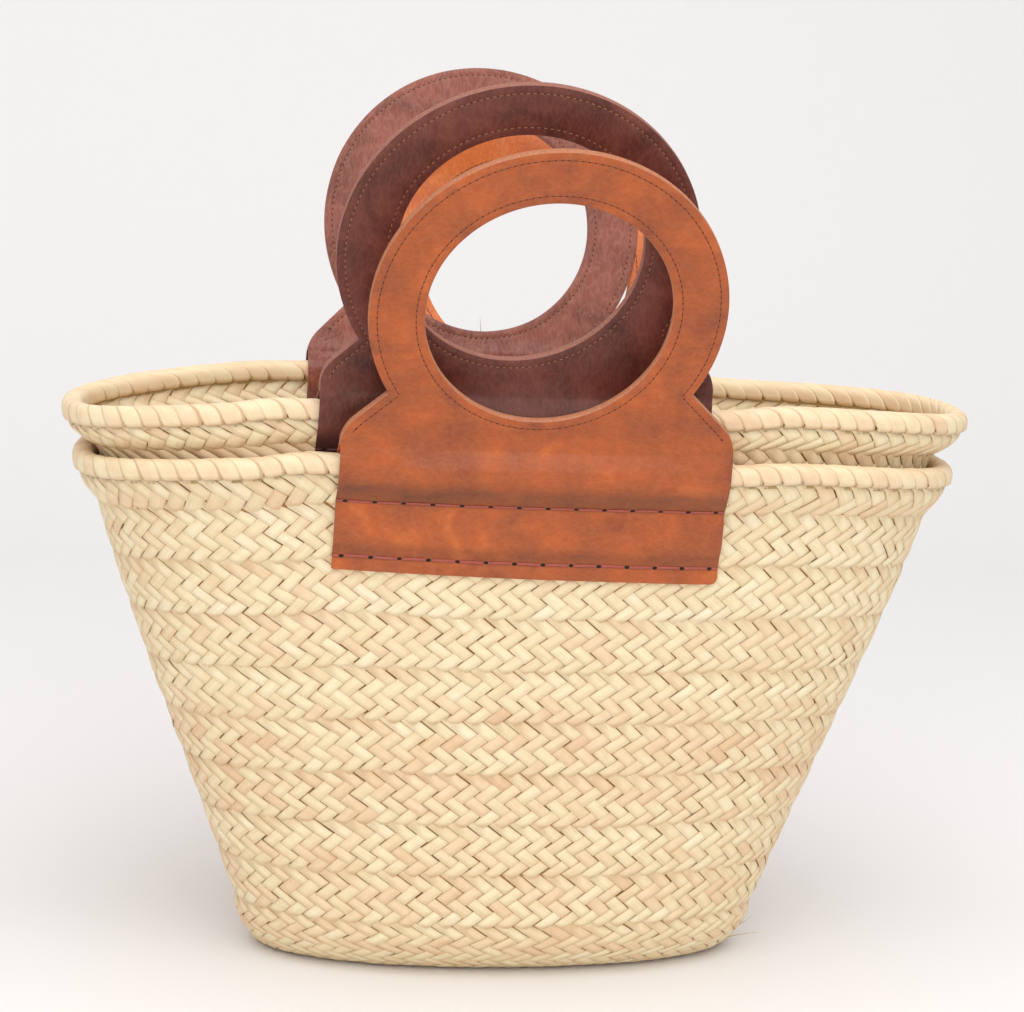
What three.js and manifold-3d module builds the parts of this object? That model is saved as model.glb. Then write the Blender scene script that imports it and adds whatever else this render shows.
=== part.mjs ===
// Two plaited palm-leaf market baskets, one nested in the other, with stiff leather ring handles.
// Millimetres, +Z up. X runs along the baskets and -Y is their front.
// The origin is on the floor, in the middle of the outer basket's foot.
import * as THREE from 'three';
import { mergeVertices } from 'three/addons/utils/BufferGeometryUtils.js';
import Module from 'manifold-3d';

const wasm = await Module();
wasm.setup();

// Gap kept between two pieces that touch.
const clearance = 0.3;

// The plait: one long braid, coiled up from the foot and sewn edge to edge in courses. Shares
// are of the wall's height: the foot's edge, the turn-up, and two places on the inner face.
const plait = {
  thickness: 4.5,
  courses: 8,
  footEdge: 0.03,
  firstCourse: 0.12,
  innerShares: [0.45, 0.8],
  seamDepth: 0.9,
  columns: 48,
};

// Half of the outside size along X and along Y, from the foot up, and the heights of the edge.
// The foot turns up in a rounded corner, and the wall then flares at a steady rate, with a belly
// in its upper half.
const shape = {
  length: { foot: 136, cornerOut: 17, cornerUp: 30, flare: 0.358, belly: 3.5 },
  depth: { foot: 52, cornerOut: 25, cornerUp: 37, flare: 0.137, belly: 0 },
  footRoundness: 2.1,
  rimRoundness: 2.5,
  tipHeight: 285.5,
  rimRise: 16.5,
};

// The edge is straight under a handle and this much beyond it, then fades to its own height.
const pull = { beyond: 4, fade: 40 };

// The wound edge: a bundle of leaf stalks on the wall's top, under a leaf strip in slanted turns.
// It is widest at its waist, and half of a valley's depth reaches down to its skirt.
const rim = {
  halfWidth: 6.8,
  halfHeight: 7.6,
  waist: 0.5,
  footHalfWidth: 5.7,
  skirt: 7,
  valley: 1.2,
  skirtShare: 0.5,
  crown: 0.53,
  turns: 84,
  lean: 0.45,
  slotHalfWidth: 3.9,
  slotTop: 5.2,
  wallDrop: 6.4,
};
const core = { footHalfWidth: 2, topHalfWidth: 0.5, height: 7.4 };

// The handle: a ring with a foot that runs down to its fold over the rim. The foot's sides turn
// over round corners into straight slopes, in degrees, which meet the ring in two notches.
const handle = {
  holeRadius: 65.5,
  halfWidth: 106,
  shoulderRadius: 22,
  shoulderSlope: 45,
  board: 2.2,
  skin: 1.4,
  ringSteps: 36,
  holeSteps: 28,
  shoulderSteps: 4,
};

// The flaps: the two leathers below the fold, sewn to both sides of the wall in two rows. They
// leave the winding a little above its waist, and stand off by part of its width if it is near.
// On the inside a flap keeps off the wall's facets, which stand in from its true curve.
const flap = {
  thickness: 1.8,
  drop: 58,
  upperRow: 20,
  lowerRow: 49,
  columns: 8,
  topGap: 0.4,
  leaves: 1.5,
  slackShare: 0.25,
  facetSag: 0.2,
};

// How far the inner basket stands above the outer one when it is pushed in.
const nestRise = 29;
const seatMargin = 0.8;

// The inner basket is squeezed between the outer one's flaps until leather lies on leather.
const nestSqueeze = plait.thickness + 2 * flap.thickness + 3 * clearance + seatMargin
  - shape.depth.flare * nestRise;

// Each basket: its foot, how much higher its edge is at the right tip than midway, the lip that
// the edge makes, and each handle's place. A handle lifts or lowers the edge under it and rolls
// it, right end down, and it leans outwards by its lean. Both angles are in degrees. The edge
// beside a handle is lower by its sag, on the left or the right. Each was cut and sewn by hand:
// its ring stands aside of its foot's middle, at a height above the fold, on sides of a height,
// and its hole may be a little above the ring's middle.
const baskets = [
  {
    name: 'outer',
    foot: 0,
    squeeze: 0,
    tilt: 2.5,
    lip: { length: 6, depth: 6, share: 0.07 },
    leather: 0xb5622f,
    ringRadius: handle.halfWidth - 12,
    handles: {
      front: {
        across: -8.8, lift: -2.2, roll: 0.4, lean: 23, sag: { left: 0, right: 0 },
        ring: { aside: -3.9, height: 84.3, sideHeight: 1.5, holeUp: 0 },
      },
      back: {
        across: 27, lift: -7, roll: 0, lean: 26, sag: { left: 0, right: 0 },
        ring: { aside: -1.5, height: 84.3, sideHeight: 1.5, holeUp: 0 },
      },
    },
  },
  {
    name: 'inner',
    foot: nestRise,
    squeeze: nestSqueeze,
    tilt: 4,
    lip: { length: 13, depth: 1.5, share: 0.056 },
    leather: 0x6e3826,
    ringRadius: handle.halfWidth - 10.5,
    handles: {
      front: {
        across: -19.7, lift: -3.5, roll: 0, lean: 21, sag: { left: 0, right: 0 },
        ring: { aside: -7.4, height: 84.8, sideHeight: 5, holeUp: 3 },
      },
      back: {
        across: -6.2, lift: -10.5, roll: 0, lean: 15, sag: { left: 6, right: 16 },
        ring: { aside: -0.8, height: 79, sideHeight: -4, holeUp: 0 },
      },
    },
  },
];

const facing = { front: -1, back: 1 };

// The leathers roll together under the board, round the line that the handle turns on.
const skinOffset = handle.board / 2 + clearance;
const rollRadius = skinOffset + handle.skin;
const foldHeight = rim.halfHeight + clearance + flap.thickness + clearance + rollRadius;

const palmLeaf = new THREE.MeshStandardMaterial({ color: 0xdcc592, roughness: 0.75, metalness: 0 });
const stalk = new THREE.MeshStandardMaterial({ color: 0xb89a63, roughness: 0.85, metalness: 0 });
const cardboard = new THREE.MeshStandardMaterial({ color: 0xa98a68, roughness: 0.9, metalness: 0 });

function leatherOf(basket) {
  return new THREE.MeshStandardMaterial({ color: basket.leather, roughness: 0.5, metalness: 0 });
}

function named(name, geometry, material) {
  const mesh = new THREE.Mesh(geometry, material);
  mesh.name = name;
  return mesh;
}

function signedPower(value, power) {
  return Math.sign(value) * Math.abs(value) ** power;
}

function smooth(value) {
  const v = Math.min(1, Math.max(0, value));
  return v * v * (3 - 2 * v);
}

// Half of the wall's size at a height above the foot, on a skin that lies `inset` inside it.
function halfSpan(side, height, inset) {
  const up = side.cornerUp - inset;
  const rise = height - inset;
  const turn = Math.min(rise / up, 1);
  const corner = (side.cornerOut - inset) * (1 - (1 - turn) ** 2);
  const belly = side.belly * Math.sin(Math.PI * Math.min(height / shape.tipHeight, 1) ** 2);
  return side.foot + corner + belly + side.flare * Math.max(0, rise - up);
}

// Height of the edge's centre line under a handle, at a given X.
function heldHeight(basket, side, x) {
  const { across, lift, roll } = basket.handles[side];
  const slope = Math.tan(THREE.MathUtils.degToRad(roll));
  return basket.foot + shape.tipHeight + shape.rimRise + lift - slope * (x - across);
}

// Height of the edge's centre line at an angle round the basket, above the floor.
function rimHeight(basket, angle) {
  const { foot, cornerOut, cornerUp, flare } = shape.length;
  const reach = foot + cornerOut + flare * (shape.tipHeight - cornerUp);
  const along = signedPower(Math.cos(angle), 2 / shape.rimRoundness);
  const side = Math.sin(angle) < 0 ? 'front' : 'back';
  const x = reach * along;
  const { across, sag } = basket.handles[side];
  const past = Math.abs(x - across) - handle.halfWidth - pull.beyond;
  const rise = shape.rimRise - (x < across ? sag.left : sag.right);
  const own = basket.foot + shape.tipHeight + rise * Math.sin(angle) ** 2 + basket.tilt * along;
  const held = heldHeight(basket, side, x);
  return held + (own - held) * smooth(past / pull.fade);
}

// A point of the wall: an angle round it and a share of its height, on its outer face or inset.
function wallPoint(basket, angle, share, inset, drawnIn = 0) {
  const top = rimHeight(basket, angle) - rim.wallDrop - basket.foot;
  const height = inset + share * (top - inset);
  const lip = smooth(1 - (1 - share) / basket.lip.share);
  const length = halfSpan(shape.length, height, inset) + basket.lip.length * lip - drawnIn;
  const depth = halfSpan(shape.depth, height, inset) + basket.lip.depth * lip - drawnIn
    - basket.squeeze;
  const { footRoundness, rimRoundness } = shape;
  const roundness = footRoundness + (rimRoundness - footRoundness) * (height / shape.tipHeight);
  return new THREE.Vector3(
    length * signedPower(Math.cos(angle), 2 / roundness),
    depth * signedPower(Math.sin(angle), 2 / roundness),
    basket.foot + height,
  );
}

// Shares of the wall's height, and how far the braid is drawn in there: the foot's edge, the
// turn-up, each course from its sewn joint to its middle, and the lip.
function outsideStations(basket) {
  const lipStart = 1 - basket.lip.share;
  const stations = [[0, 0], [plait.footEdge, 0]];
  const course = (lipStart - plait.firstCourse) / plait.courses;
  for (let i = 0; i < plait.courses; i += 1) {
    stations.push([plait.firstCourse + course * i, plait.seamDepth]);
    stations.push([plait.firstCourse + course * (i + 0.5), 0]);
  }
  stations.push([lipStart, plait.seamDepth], [1 - basket.lip.share / 2, 0], [1, 0]);
  return stations;
}

// The same shares for the inner face, which is smooth.
function insideStations(basket) {
  const lipStart = 1 - basket.lip.share;
  const lipMiddle = 1 - basket.lip.share / 2;
  const { footEdge, firstCourse, innerShares } = plait;
  const shares = [0, footEdge, firstCourse, ...innerShares, lipStart, lipMiddle, 1];
  return shares.map((share) => [share, 0]);
}

// A point on a face of the wall, straight from one station to the next, over the courses' middles.
function facePoint(basket, angle, share, inset) {
  const stations = inset ? insideStations(basket) : outsideStations(basket);
  let upper = stations.findIndex(([s]) => s >= share);
  if (upper < 1) upper = upper < 0 ? stations.length - 1 : 1;
  const [low] = stations[upper - 1];
  const [high] = stations[upper];
  const bottom = wallPoint(basket, angle, low, inset);
  return bottom.lerp(wallPoint(basket, angle, high, inset), (share - low) / (high - low));
}

// The edge's centre line, straight above the middle of the wall's top.
function rimPoint(basket, angle) {
  const outside = wallPoint(basket, angle, 1, 0);
  const inside = wallPoint(basket, angle, 1, plait.thickness);
  const point = outside.add(inside).multiplyScalar(0.5);
  point.z = rimHeight(basket, angle);
  return point;
}

// The level direction that points out of the basket at an angle round the edge.
function rimNormal(basket, angle) {
  const step = 0.01;
  const along = rimPoint(basket, angle + step).sub(rimPoint(basket, angle - step));
  return new THREE.Vector3(along.y, -along.x, 0).normalize();
}

// Angles that part the edge into equal lengths.
function evenAngles(basket, count) {
  const samples = 1440;
  const lengths = [0];
  for (let i = 1; i <= samples; i += 1) {
    const here = rimPoint(basket, (2 * Math.PI * i) / samples);
    const before = rimPoint(basket, (2 * Math.PI * (i - 1)) / samples);
    lengths.push(lengths[i - 1] + here.distanceTo(before));
  }
  return (place) => {
    const wrapped = ((place % count) + count) % count;
    const target = (wrapped / count) * lengths[samples];
    let low = 0;
    while (low < samples - 1 && lengths[low + 1] < target) low += 1;
    const part = (target - lengths[low]) / (lengths[low + 1] - lengths[low]);
    return (2 * Math.PI * (low + part)) / samples;
  };
}

// A closed solid from points and triangles, with its faces turned outwards.
function closedGeometry(points, triangles) {
  const geometry = new THREE.BufferGeometry();
  geometry.setAttribute('position', new THREE.Float32BufferAttribute(points.flatMap((p) => p.toArray()), 3));
  let volume = 0;
  for (const [a, b, c] of triangles) {
    volume += points[a].dot(new THREE.Vector3().crossVectors(points[b], points[c])) / 6;
  }
  const outward = volume > 0 ? triangles : triangles.map(([a, b, c]) => [a, c, b]);
  geometry.setIndex(outward.flat());
  return geometry;
}

// Triangles between rings of equal count, each ring closed on itself.
function ringTriangles(rings, count, closed) {
  const triangles = [];
  const spans = closed ? rings : rings - 1;
  for (let i = 0; i < spans; i += 1) {
    for (let j = 0; j < count; j += 1) {
      const a = i * count + j;
      const b = i * count + ((j + 1) % count);
      const c = ((i + 1) % rings) * count + j;
      const d = ((i + 1) % rings) * count + ((j + 1) % count);
      triangles.push([a, b, d], [a, d, c]);
    }
  }
  return triangles;
}

// The basket itself: the coiled braid, open at the top, with a flat foot.
function plaitedBody(basket) {
  const { columns, thickness } = plait;
  const rings = [
    ...outsideStations(basket).map(([share, drawnIn]) => ({ share, drawnIn, inset: 0 })),
    ...insideStations(basket).reverse().map(([share]) => ({ share, drawnIn: 0, inset: thickness })),
  ];
  const points = [];
  for (const { share, drawnIn, inset } of rings) {
    for (let j = 0; j < columns; j += 1) {
      points.push(wallPoint(basket, (2 * Math.PI * j) / columns, share, inset, drawnIn));
    }
  }
  const under = points.push(new THREE.Vector3(0, 0, basket.foot)) - 1;
  const floor = points.push(new THREE.Vector3(0, 0, basket.foot + thickness)) - 1;
  const last = (rings.length - 1) * columns;
  const triangles = ringTriangles(rings.length, columns, false);
  for (let j = 0; j < columns; j += 1) {
    const next = (j + 1) % columns;
    triangles.push([under, next, j], [floor, last + j, last + next]);
  }
  return closedGeometry(points, triangles);
}

// A section of [outward, upward] points carried once round the edge.
function alongRim(basket, angles, sectionAt) {
  const points = [];
  let count = 0;
  angles.forEach((angle, i) => {
    const section = sectionAt(i);
    count = section.length;
    for (const [outward, upward, angleHere] of section) {
      const at = angleHere ?? angle;
      const point = rimPoint(basket, at).addScaledVector(rimNormal(basket, at), outward);
      point.z += upward;
      points.push(point);
    }
  });
  return closedGeometry(points, ringTriangles(angles.length, count, true));
}

// The stalk bundle, which stands on the wall's top inside the winding.
function rimCore(basket) {
  const bottom = clearance - rim.wallDrop;
  const section = [
    [-core.footHalfWidth, bottom],
    [core.footHalfWidth, bottom],
    [core.topHalfWidth, bottom + core.height],
    [-core.topHalfWidth, bottom + core.height],
  ];
  const angles = Array.from({ length: plait.columns }, (_, j) => (2 * Math.PI * j) / plait.columns);
  return alongRim(basket, angles, () => section);
}

// The wound strip: a ridge and a valley for each turn, leaning along the edge as it goes over,
// and open below, where it straddles the stalks and the wall's top.
function rimBinding(basket) {
  const { halfWidth, halfHeight, footHalfWidth, waist, skirt, skirtShare, crown, valley } = rim;
  const over = [
    [footHalfWidth, -skirt, skirtShare],
    [halfWidth, waist, 1],
    [halfWidth * crown, halfHeight, 1],
    [-halfWidth * crown, halfHeight, 1],
    [-halfWidth, waist, 1],
    [-footHalfWidth, -skirt, skirtShare],
  ];
  const slot = [
    [-rim.slotHalfWidth, -skirt],
    [0, rim.slotTop],
    [rim.slotHalfWidth, -skirt],
  ];
  const places = 2 * rim.turns;
  const angleAt = evenAngles(basket, places);
  const angles = Array.from({ length: places }, (_, i) => angleAt(i));
  return alongRim(basket, angles, (i) => {
    const depth = i % 2 ? valley : 0;
    const wound = over.map(([outward, upward, share], k) => {
      const shrink = 1 - (depth * share) / Math.hypot(outward, upward);
      const slant = 2 * rim.lean * (k / (over.length - 1) - 0.5);
      return [outward * shrink, upward * shrink, angleAt(i + 2 * slant)];
    });
    return [...wound, ...slot];
  });
}

function arc(x, y, radius, from, to, steps) {
  const points = [];
  for (let i = 0; i <= steps; i += 1) {
    const angle = from + ((to - from) * i) / steps;
    points.push(new THREE.Vector2(x + radius * Math.cos(angle), y + radius * Math.sin(angle)));
  }
  return points;
}

// One side of the foot, flat, with Y up from the fold and X from the middle of the foot: its
// round corner, cut off at the fold where it starts below, and the angle at which the slope
// above it meets the ring.
function shoulder(basket, ring, way) {
  const { halfWidth, shoulderRadius, shoulderSlope, shoulderSteps } = handle;
  const slope = THREE.MathUtils.degToRad(shoulderSlope);
  const start = Math.asin(Math.max(0, -ring.sideHeight) / shoulderRadius);
  const middle = halfWidth - shoulderRadius;
  const corner = arc(middle, ring.sideHeight, shoulderRadius, start, Math.PI / 2 - slope, shoulderSteps);
  const end = corner[corner.length - 1].clone().sub(new THREE.Vector2(way * ring.aside, ring.height));
  const upward = new THREE.Vector2(-Math.cos(slope), Math.sin(slope));
  const along = end.dot(upward);
  const reach = -along - Math.sqrt(along ** 2 - end.lengthSq() + basket.ringRadius ** 2);
  const notch = end.addScaledVector(upward, reach);
  return {
    corner: corner.map((point) => new THREE.Vector2(way * point.x, point.y)),
    notch: Math.atan2(notch.y, notch.x),
  };
}

// The handle's outline: foot, shoulders, ring and hand hole.
function handleOutline(basket, side) {
  const { halfWidth, holeRadius, ringSteps, holeSteps } = handle;
  const { ring } = basket.handles[side];
  const right = shoulder(basket, ring, 1);
  const left = shoulder(basket, ring, -1);
  const bottom = [new THREE.Vector2(-halfWidth, 0), new THREE.Vector2(halfWidth, 0)];
  const outline = [
    ...(ring.sideHeight > 0 ? bottom : []),
    ...right.corner,
    ...arc(ring.aside, ring.height, basket.ringRadius, right.notch, Math.PI - left.notch, ringSteps),
    ...left.corner.reverse(),
  ];
  const plate = new THREE.Shape(outline);
  const holeHeight = ring.height + ring.holeUp;
  const hole = arc(ring.aside, holeHeight, holeRadius, 0, -2 * Math.PI, holeSteps).slice(0, -1);
  plate.holes.push(new THREE.Path(hole));
  return plate;
}

// A flat plate of a handle's outline, between two distances outwards from its middle plane. The
// outline is drawn as seen from the front, so a back handle's is turned over.
function handlePlate(basket, side, from, to) {
  const geometry = new THREE.ExtrudeGeometry(handleOutline(basket, side), {
    depth: to - from,
    bevelEnabled: false,
  });
  geometry.translate(0, 0, from).rotateX(Math.PI / 2);
  if (side === 'front') return geometry;
  return geometryOf(solidOf(geometry).mirror([1, 0, 0]));
}

// The quarter roll that one leather makes under the board, on its own side of the fold line.
function rolledEdge(side) {
  const intoPlate = 0.12;
  const end = -Math.PI / 2 + Math.asin(clearance / 2 / skinOffset);
  const steps = 4;
  const outside = arc(0, 0, rollRadius, intoPlate, end, steps);
  const inside = arc(0, 0, skinOffset, end, intoPlate, steps);
  const section = new THREE.Shape([...outside, ...inside]);
  const width = 2 * handle.halfWidth;
  const geometry = new THREE.ExtrudeGeometry(section, { depth: width, bevelEnabled: false });
  // The section's X becomes the way out of the basket, and its Y stays up.
  const basis = new THREE.Matrix4().makeBasis(
    new THREE.Vector3(0, -1, 0),
    new THREE.Vector3(0, 0, 1),
    new THREE.Vector3(-1, 0, 0),
  );
  geometry.translate(0, 0, -handle.halfWidth).applyMatrix4(basis);
  return side > 0 ? geometry : geometry.rotateZ(Math.PI);
}

function solidOf(geometry) {
  const weldDistance = 1e-4;
  const bare = geometry.clone();
  bare.deleteAttribute('normal');
  bare.deleteAttribute('uv');
  const merged = mergeVertices(bare, weldDistance);
  return new wasm.Manifold(new wasm.Mesh({
    numProp: 3,
    vertProperties: merged.attributes.position.array,
    triVerts: new Uint32Array(merged.index.array),
  }));
}

function geometryOf(solid) {
  const { vertProperties, triVerts } = solid.getMesh();
  const geometry = new THREE.BufferGeometry();
  geometry.setAttribute('position', new THREE.BufferAttribute(vertProperties, 3));
  geometry.setIndex(new THREE.BufferAttribute(triVerts, 1));
  return geometry;
}

// One leather of the handle, outwards or inwards of the board: its plate with the quarter roll
// below.
function handleLeather(basket, side, outwards) {
  const plate = outwards > 0
    ? handlePlate(basket, side, skinOffset, rollRadius)
    : handlePlate(basket, side, -rollRadius, -skinOffset);
  return geometryOf(solidOf(plate).add(solidOf(rolledEdge(outwards))));
}

// The stiff panel inside, which ends at the fold line.
function handleBoard(basket, side) {
  return handlePlate(basket, side, -handle.board / 2, handle.board / 2);
}

// Where a handle's fold line runs, in the middle of the handle or at another X.
function foldPoint(basket, side, x = basket.handles[side].across) {
  const middle = rimPoint(basket, (facing[side] * Math.PI) / 2);
  return new THREE.Vector3(x, middle.y, heldHeight(basket, side, x) + foldHeight);
}

// The angle round the basket at which a point of it has a given X.
function angleAtX(pointAt, side, x) {
  const halvings = 40;
  let low = 0;
  let high = Math.PI;
  for (let i = 0; i < halvings; i += 1) {
    const middle = (low + high) / 2;
    if (pointAt(facing[side] * middle).x > x) low = middle;
    else high = middle;
  }
  return (facing[side] * (low + high)) / 2;
}

// The wall's face at a given X, some way below the edge's centre line.
function wallBelow(basket, side, x, below, inset) {
  const pointAt = (angle) => {
    const top = rimHeight(basket, angle) - rim.wallDrop - basket.foot;
    const height = rimHeight(basket, angle) - below - basket.foot;
    return facePoint(basket, angle, (height - inset) / (top - inset), inset);
  };
  return pointAt(angleAtX(pointAt, side, x));
}

// The line that a flap's leather follows at a given X, as [outward, up] points from the fold
// down: over the winding, in against the wall at the upper row, and flat down to the hem.
// Outward is measured on the flap's own side of the wall.
function flapLine(basket, side, facingOut, x) {
  const fold = foldPoint(basket, side, x);
  const edge = rimPoint(basket, angleAtX((angle) => rimPoint(basket, angle), side, x));
  const out = facingOut * facing[side];
  const foldOut = fold.y * out;
  const edgeOut = edge.y * out;
  const roundRim = [
    [rim.halfWidth * rim.crown + clearance, rim.halfHeight + clearance],
    [rim.halfWidth + clearance, flap.leaves],
    [rim.halfWidth + clearance, -rim.skirt / 2],
    [rim.footHalfWidth + 2 * clearance, -rim.skirt - clearance],
  ];
  const line = [[foldOut + flap.topGap / 2, fold.z - rollRadius - clearance - flap.thickness]];
  for (const [outward, up] of roundRim) {
    const slack = foldOut + flap.topGap / 2 + outward * flap.slackShare;
    line.push([Math.max(edgeOut + outward, slack), edge.z + up]);
  }
  const inset = facingOut > 0 ? 0 : plait.thickness;
  const offWall = clearance + (facingOut > 0 ? 0 : flap.facetSag);
  const lip = basket.lip.share * (edge.z - rim.wallDrop - basket.foot);
  const rows = [rim.wallDrop + lip / 2, flap.upperRow, rim.wallDrop + lip, flap.lowerRow, flap.drop];
  for (const below of rows.sort((a, b) => a - b)) {
    const wall = wallBelow(basket, side, x, below, inset);
    line.push([wall.y * out + offWall, wall.z]);
  }
  return line;
}

// The same line moved out by the leather's thickness, and straight up at the fold.
function thickened(line, thickness) {
  return line.map(([outward, up], i) => {
    if (i === 0) return [outward, up + thickness];
    const [o0, u0] = line[Math.max(i - 1, 0)];
    const [o1, u1] = line[Math.min(i + 1, line.length - 1)];
    const length = Math.hypot(o1 - o0, u1 - u0);
    return [outward + (thickness * (u0 - u1)) / length, up + (thickness * (o1 - o0)) / length];
  });
}

// One flap, sewn to the wall: its leather from the fold down, as wide as the handle's foot.
function sewnFlap(basket, side, facingOut) {
  const out = facingOut * facing[side];
  const across = basket.handles[side].across;
  const points = [];
  let count = 0;
  for (let i = 0; i <= flap.columns; i += 1) {
    const x = across + handle.halfWidth * ((2 * i) / flap.columns - 1);
    const line = flapLine(basket, side, facingOut, x);
    const loop = [...line, ...thickened(line, flap.thickness).reverse()];
    count = loop.length;
    for (const [outward, up] of loop) points.push(new THREE.Vector3(x, outward * out, up));
  }
  const triangles = ringTriangles(flap.columns + 1, count, false);
  const lastRing = flap.columns * count;
  for (let j = 0; j < count / 2 - 1; j += 1) {
    const k = count - 1 - j;
    triangles.push([j, k, j + 1], [j + 1, k, k - 1]);
    triangles.push([lastRing + j, lastRing + j + 1, lastRing + k]);
    triangles.push([lastRing + j + 1, lastRing + k - 1, lastRing + k]);
  }
  return closedGeometry(points, triangles);
}

// The swinging half of a handle: board and two leathers, leaning out from the fold line.
function ringHandle(basket, side) {
  const prefix = `${basket.name}_${side}`;
  const leather = leatherOf(basket);
  const swing = new THREE.Group();
  swing.add(
    named(`${prefix}_board`, handleBoard(basket, side), cardboard),
    named(`${prefix}_face_leather`, handleLeather(basket, side, 1), leather),
    named(`${prefix}_back_leather`, handleLeather(basket, side, -1), leather),
  );
  const { lean, roll } = basket.handles[side];
  swing.rotation.set(
    THREE.MathUtils.degToRad(lean),
    -facing[side] * THREE.MathUtils.degToRad(roll),
    side === 'front' ? 0 : Math.PI,
    'ZYX',
  );
  swing.position.copy(foldPoint(basket, side));
  return swing;
}

function basketGroup(basket) {
  const group = new THREE.Group();
  const leather = leatherOf(basket);
  group.add(
    named(`${basket.name}_plaited_body`, plaitedBody(basket), palmLeaf),
    named(`${basket.name}_rim_core`, rimCore(basket), stalk),
    named(`${basket.name}_rim_binding`, rimBinding(basket), palmLeaf),
  );
  for (const side of ['front', 'back']) {
    const prefix = `${basket.name}_${side}`;
    group.add(
      ringHandle(basket, side),
      named(`${prefix}_outside_flap`, sewnFlap(basket, side, 1), leather),
      named(`${prefix}_inside_flap`, sewnFlap(basket, side, -1), leather),
    );
  }
  return group;
}

const pair = new THREE.Group();
for (const basket of baskets) pair.add(basketGroup(basket));

export default pair;
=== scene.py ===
import math

import bmesh
import bpy
import mathutils
import numpy as np
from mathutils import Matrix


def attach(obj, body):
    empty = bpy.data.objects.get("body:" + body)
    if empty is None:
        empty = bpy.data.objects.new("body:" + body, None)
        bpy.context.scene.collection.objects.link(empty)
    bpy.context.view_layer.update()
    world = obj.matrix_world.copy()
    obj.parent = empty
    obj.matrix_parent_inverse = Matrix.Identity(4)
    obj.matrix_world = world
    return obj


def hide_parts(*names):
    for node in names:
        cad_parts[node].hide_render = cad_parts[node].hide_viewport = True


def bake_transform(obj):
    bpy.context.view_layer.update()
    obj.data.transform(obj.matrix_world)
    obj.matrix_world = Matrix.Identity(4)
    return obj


# Two plaited palm-leaf baskets, one in the other, with sewn leather ring handles.
# Shapes are worked out in millimetres and put into the meshes in metres.
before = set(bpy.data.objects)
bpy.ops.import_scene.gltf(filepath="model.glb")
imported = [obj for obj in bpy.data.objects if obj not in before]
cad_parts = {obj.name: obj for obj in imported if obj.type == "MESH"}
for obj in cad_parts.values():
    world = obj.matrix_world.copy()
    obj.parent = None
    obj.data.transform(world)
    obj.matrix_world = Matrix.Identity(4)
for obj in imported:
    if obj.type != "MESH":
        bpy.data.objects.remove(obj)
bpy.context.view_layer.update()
print("frame loaded:", len(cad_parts), "nodes")

mm = 0.001
tau = 2 * math.pi
patternRoom = 900   # each leaf has its own place in this much of the leaf's pattern


def toLinear(hexColour):
    # sRGB hex to linear: a channel over 12.92 near black, else a 2.4 power curve
    channels = [int(hexColour[i:i + 2], 16) / 255 for i in (1, 3, 5)]
    return [c / 12.92 if c <= 0.04045 else ((c + 0.055) / 1.055) ** 2.4 for c in channels] + [1.0]


def addNode(tree, kind, settings=None, links=None):
    # a shader node with its properties or socket values set; each link comes from a socket, or
    # from the first output of a node
    node = tree.nodes.new("ShaderNode" + kind)
    for key, value in (settings or {}).items():
        if key == "stops":
            ramp = node.color_ramp.elements
            while len(ramp) < len(value):
                ramp.new(0.5)
            for element, (place, colour) in zip(ramp, value):
                element.position = place
                grey = not isinstance(colour, str)
                element.color = [colour] * 3 + [1.0] if grey else toLinear(colour)
        elif isinstance(key, str) and hasattr(node, key):
            setattr(node, key, value)
        else:
            node.inputs[key].default_value = value
    for key, source in (links or {}).items():
        tree.links.new(getattr(source, "outputs", [source])[0], node.inputs[key])
    return node


def newMaterial(name):
    # an empty material and its tree
    material = bpy.data.materials.new(name)
    material.use_nodes = True
    material.node_tree.nodes.clear()
    return material, material.node_tree


def makePiece(name, points, faceGroups, materials, uv=None, values=None, groupSlots=None):
    # points in mm and groups of faces (index arrays with 3 or 4 columns) make one smooth mesh;
    # uv and values are per point, groupSlots the material of each group
    mesh = bpy.data.meshes.new(name)
    points = np.asarray(points, float).reshape(-1, 3)
    mesh.vertices.add(len(points))
    mesh.vertices.foreach_set("co", (points * mm).astype(np.float32).ravel())
    groups = [np.asarray(group, np.int32) for group in faceGroups]
    corners = np.concatenate([group.ravel() for group in groups])
    sizes = np.concatenate([np.full(len(group), group.shape[1]) for group in groups])
    starts = np.concatenate([[0], np.cumsum(sizes)[:-1]]).astype(np.int32)
    mesh.loops.add(len(corners))
    mesh.loops.foreach_set("vertex_index", corners)
    mesh.polygons.add(len(sizes))
    mesh.polygons.foreach_set("loop_start", starts)
    mesh.polygons.foreach_set("use_smooth", np.ones(len(sizes), bool))
    if groupSlots is not None:
        slots = np.concatenate([np.full(len(g), s) for g, s in zip(groups, groupSlots)])
        mesh.polygons.foreach_set("material_index", slots.astype(np.int32))
    mesh.update(calc_edges=True)
    if uv is not None:
        layer = mesh.uv_layers.new(name="UVMap")
        layer.data.foreach_set("uv", np.asarray(uv, np.float32)[corners].ravel())
    for key, array in (values or {}).items():
        attribute = mesh.attributes.new(key, "FLOAT", "POINT")
        attribute.data.foreach_set("value", np.asarray(array, np.float32).ravel())
    mesh.validate()
    for material in materials:
        mesh.materials.append(material)
    piece = bpy.data.objects.new(name, mesh)
    bpy.context.scene.collection.objects.link(piece)
    return piece


def weld(piece, distance):
    # merges points closer than a distance in mm and turns the faces outwards
    work = bmesh.new()
    work.from_mesh(piece.data)
    bmesh.ops.remove_doubles(work, verts=work.verts, dist=distance * mm)
    bmesh.ops.recalc_face_normals(work, faces=work.faces)
    work.to_mesh(piece.data)
    work.free()


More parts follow.
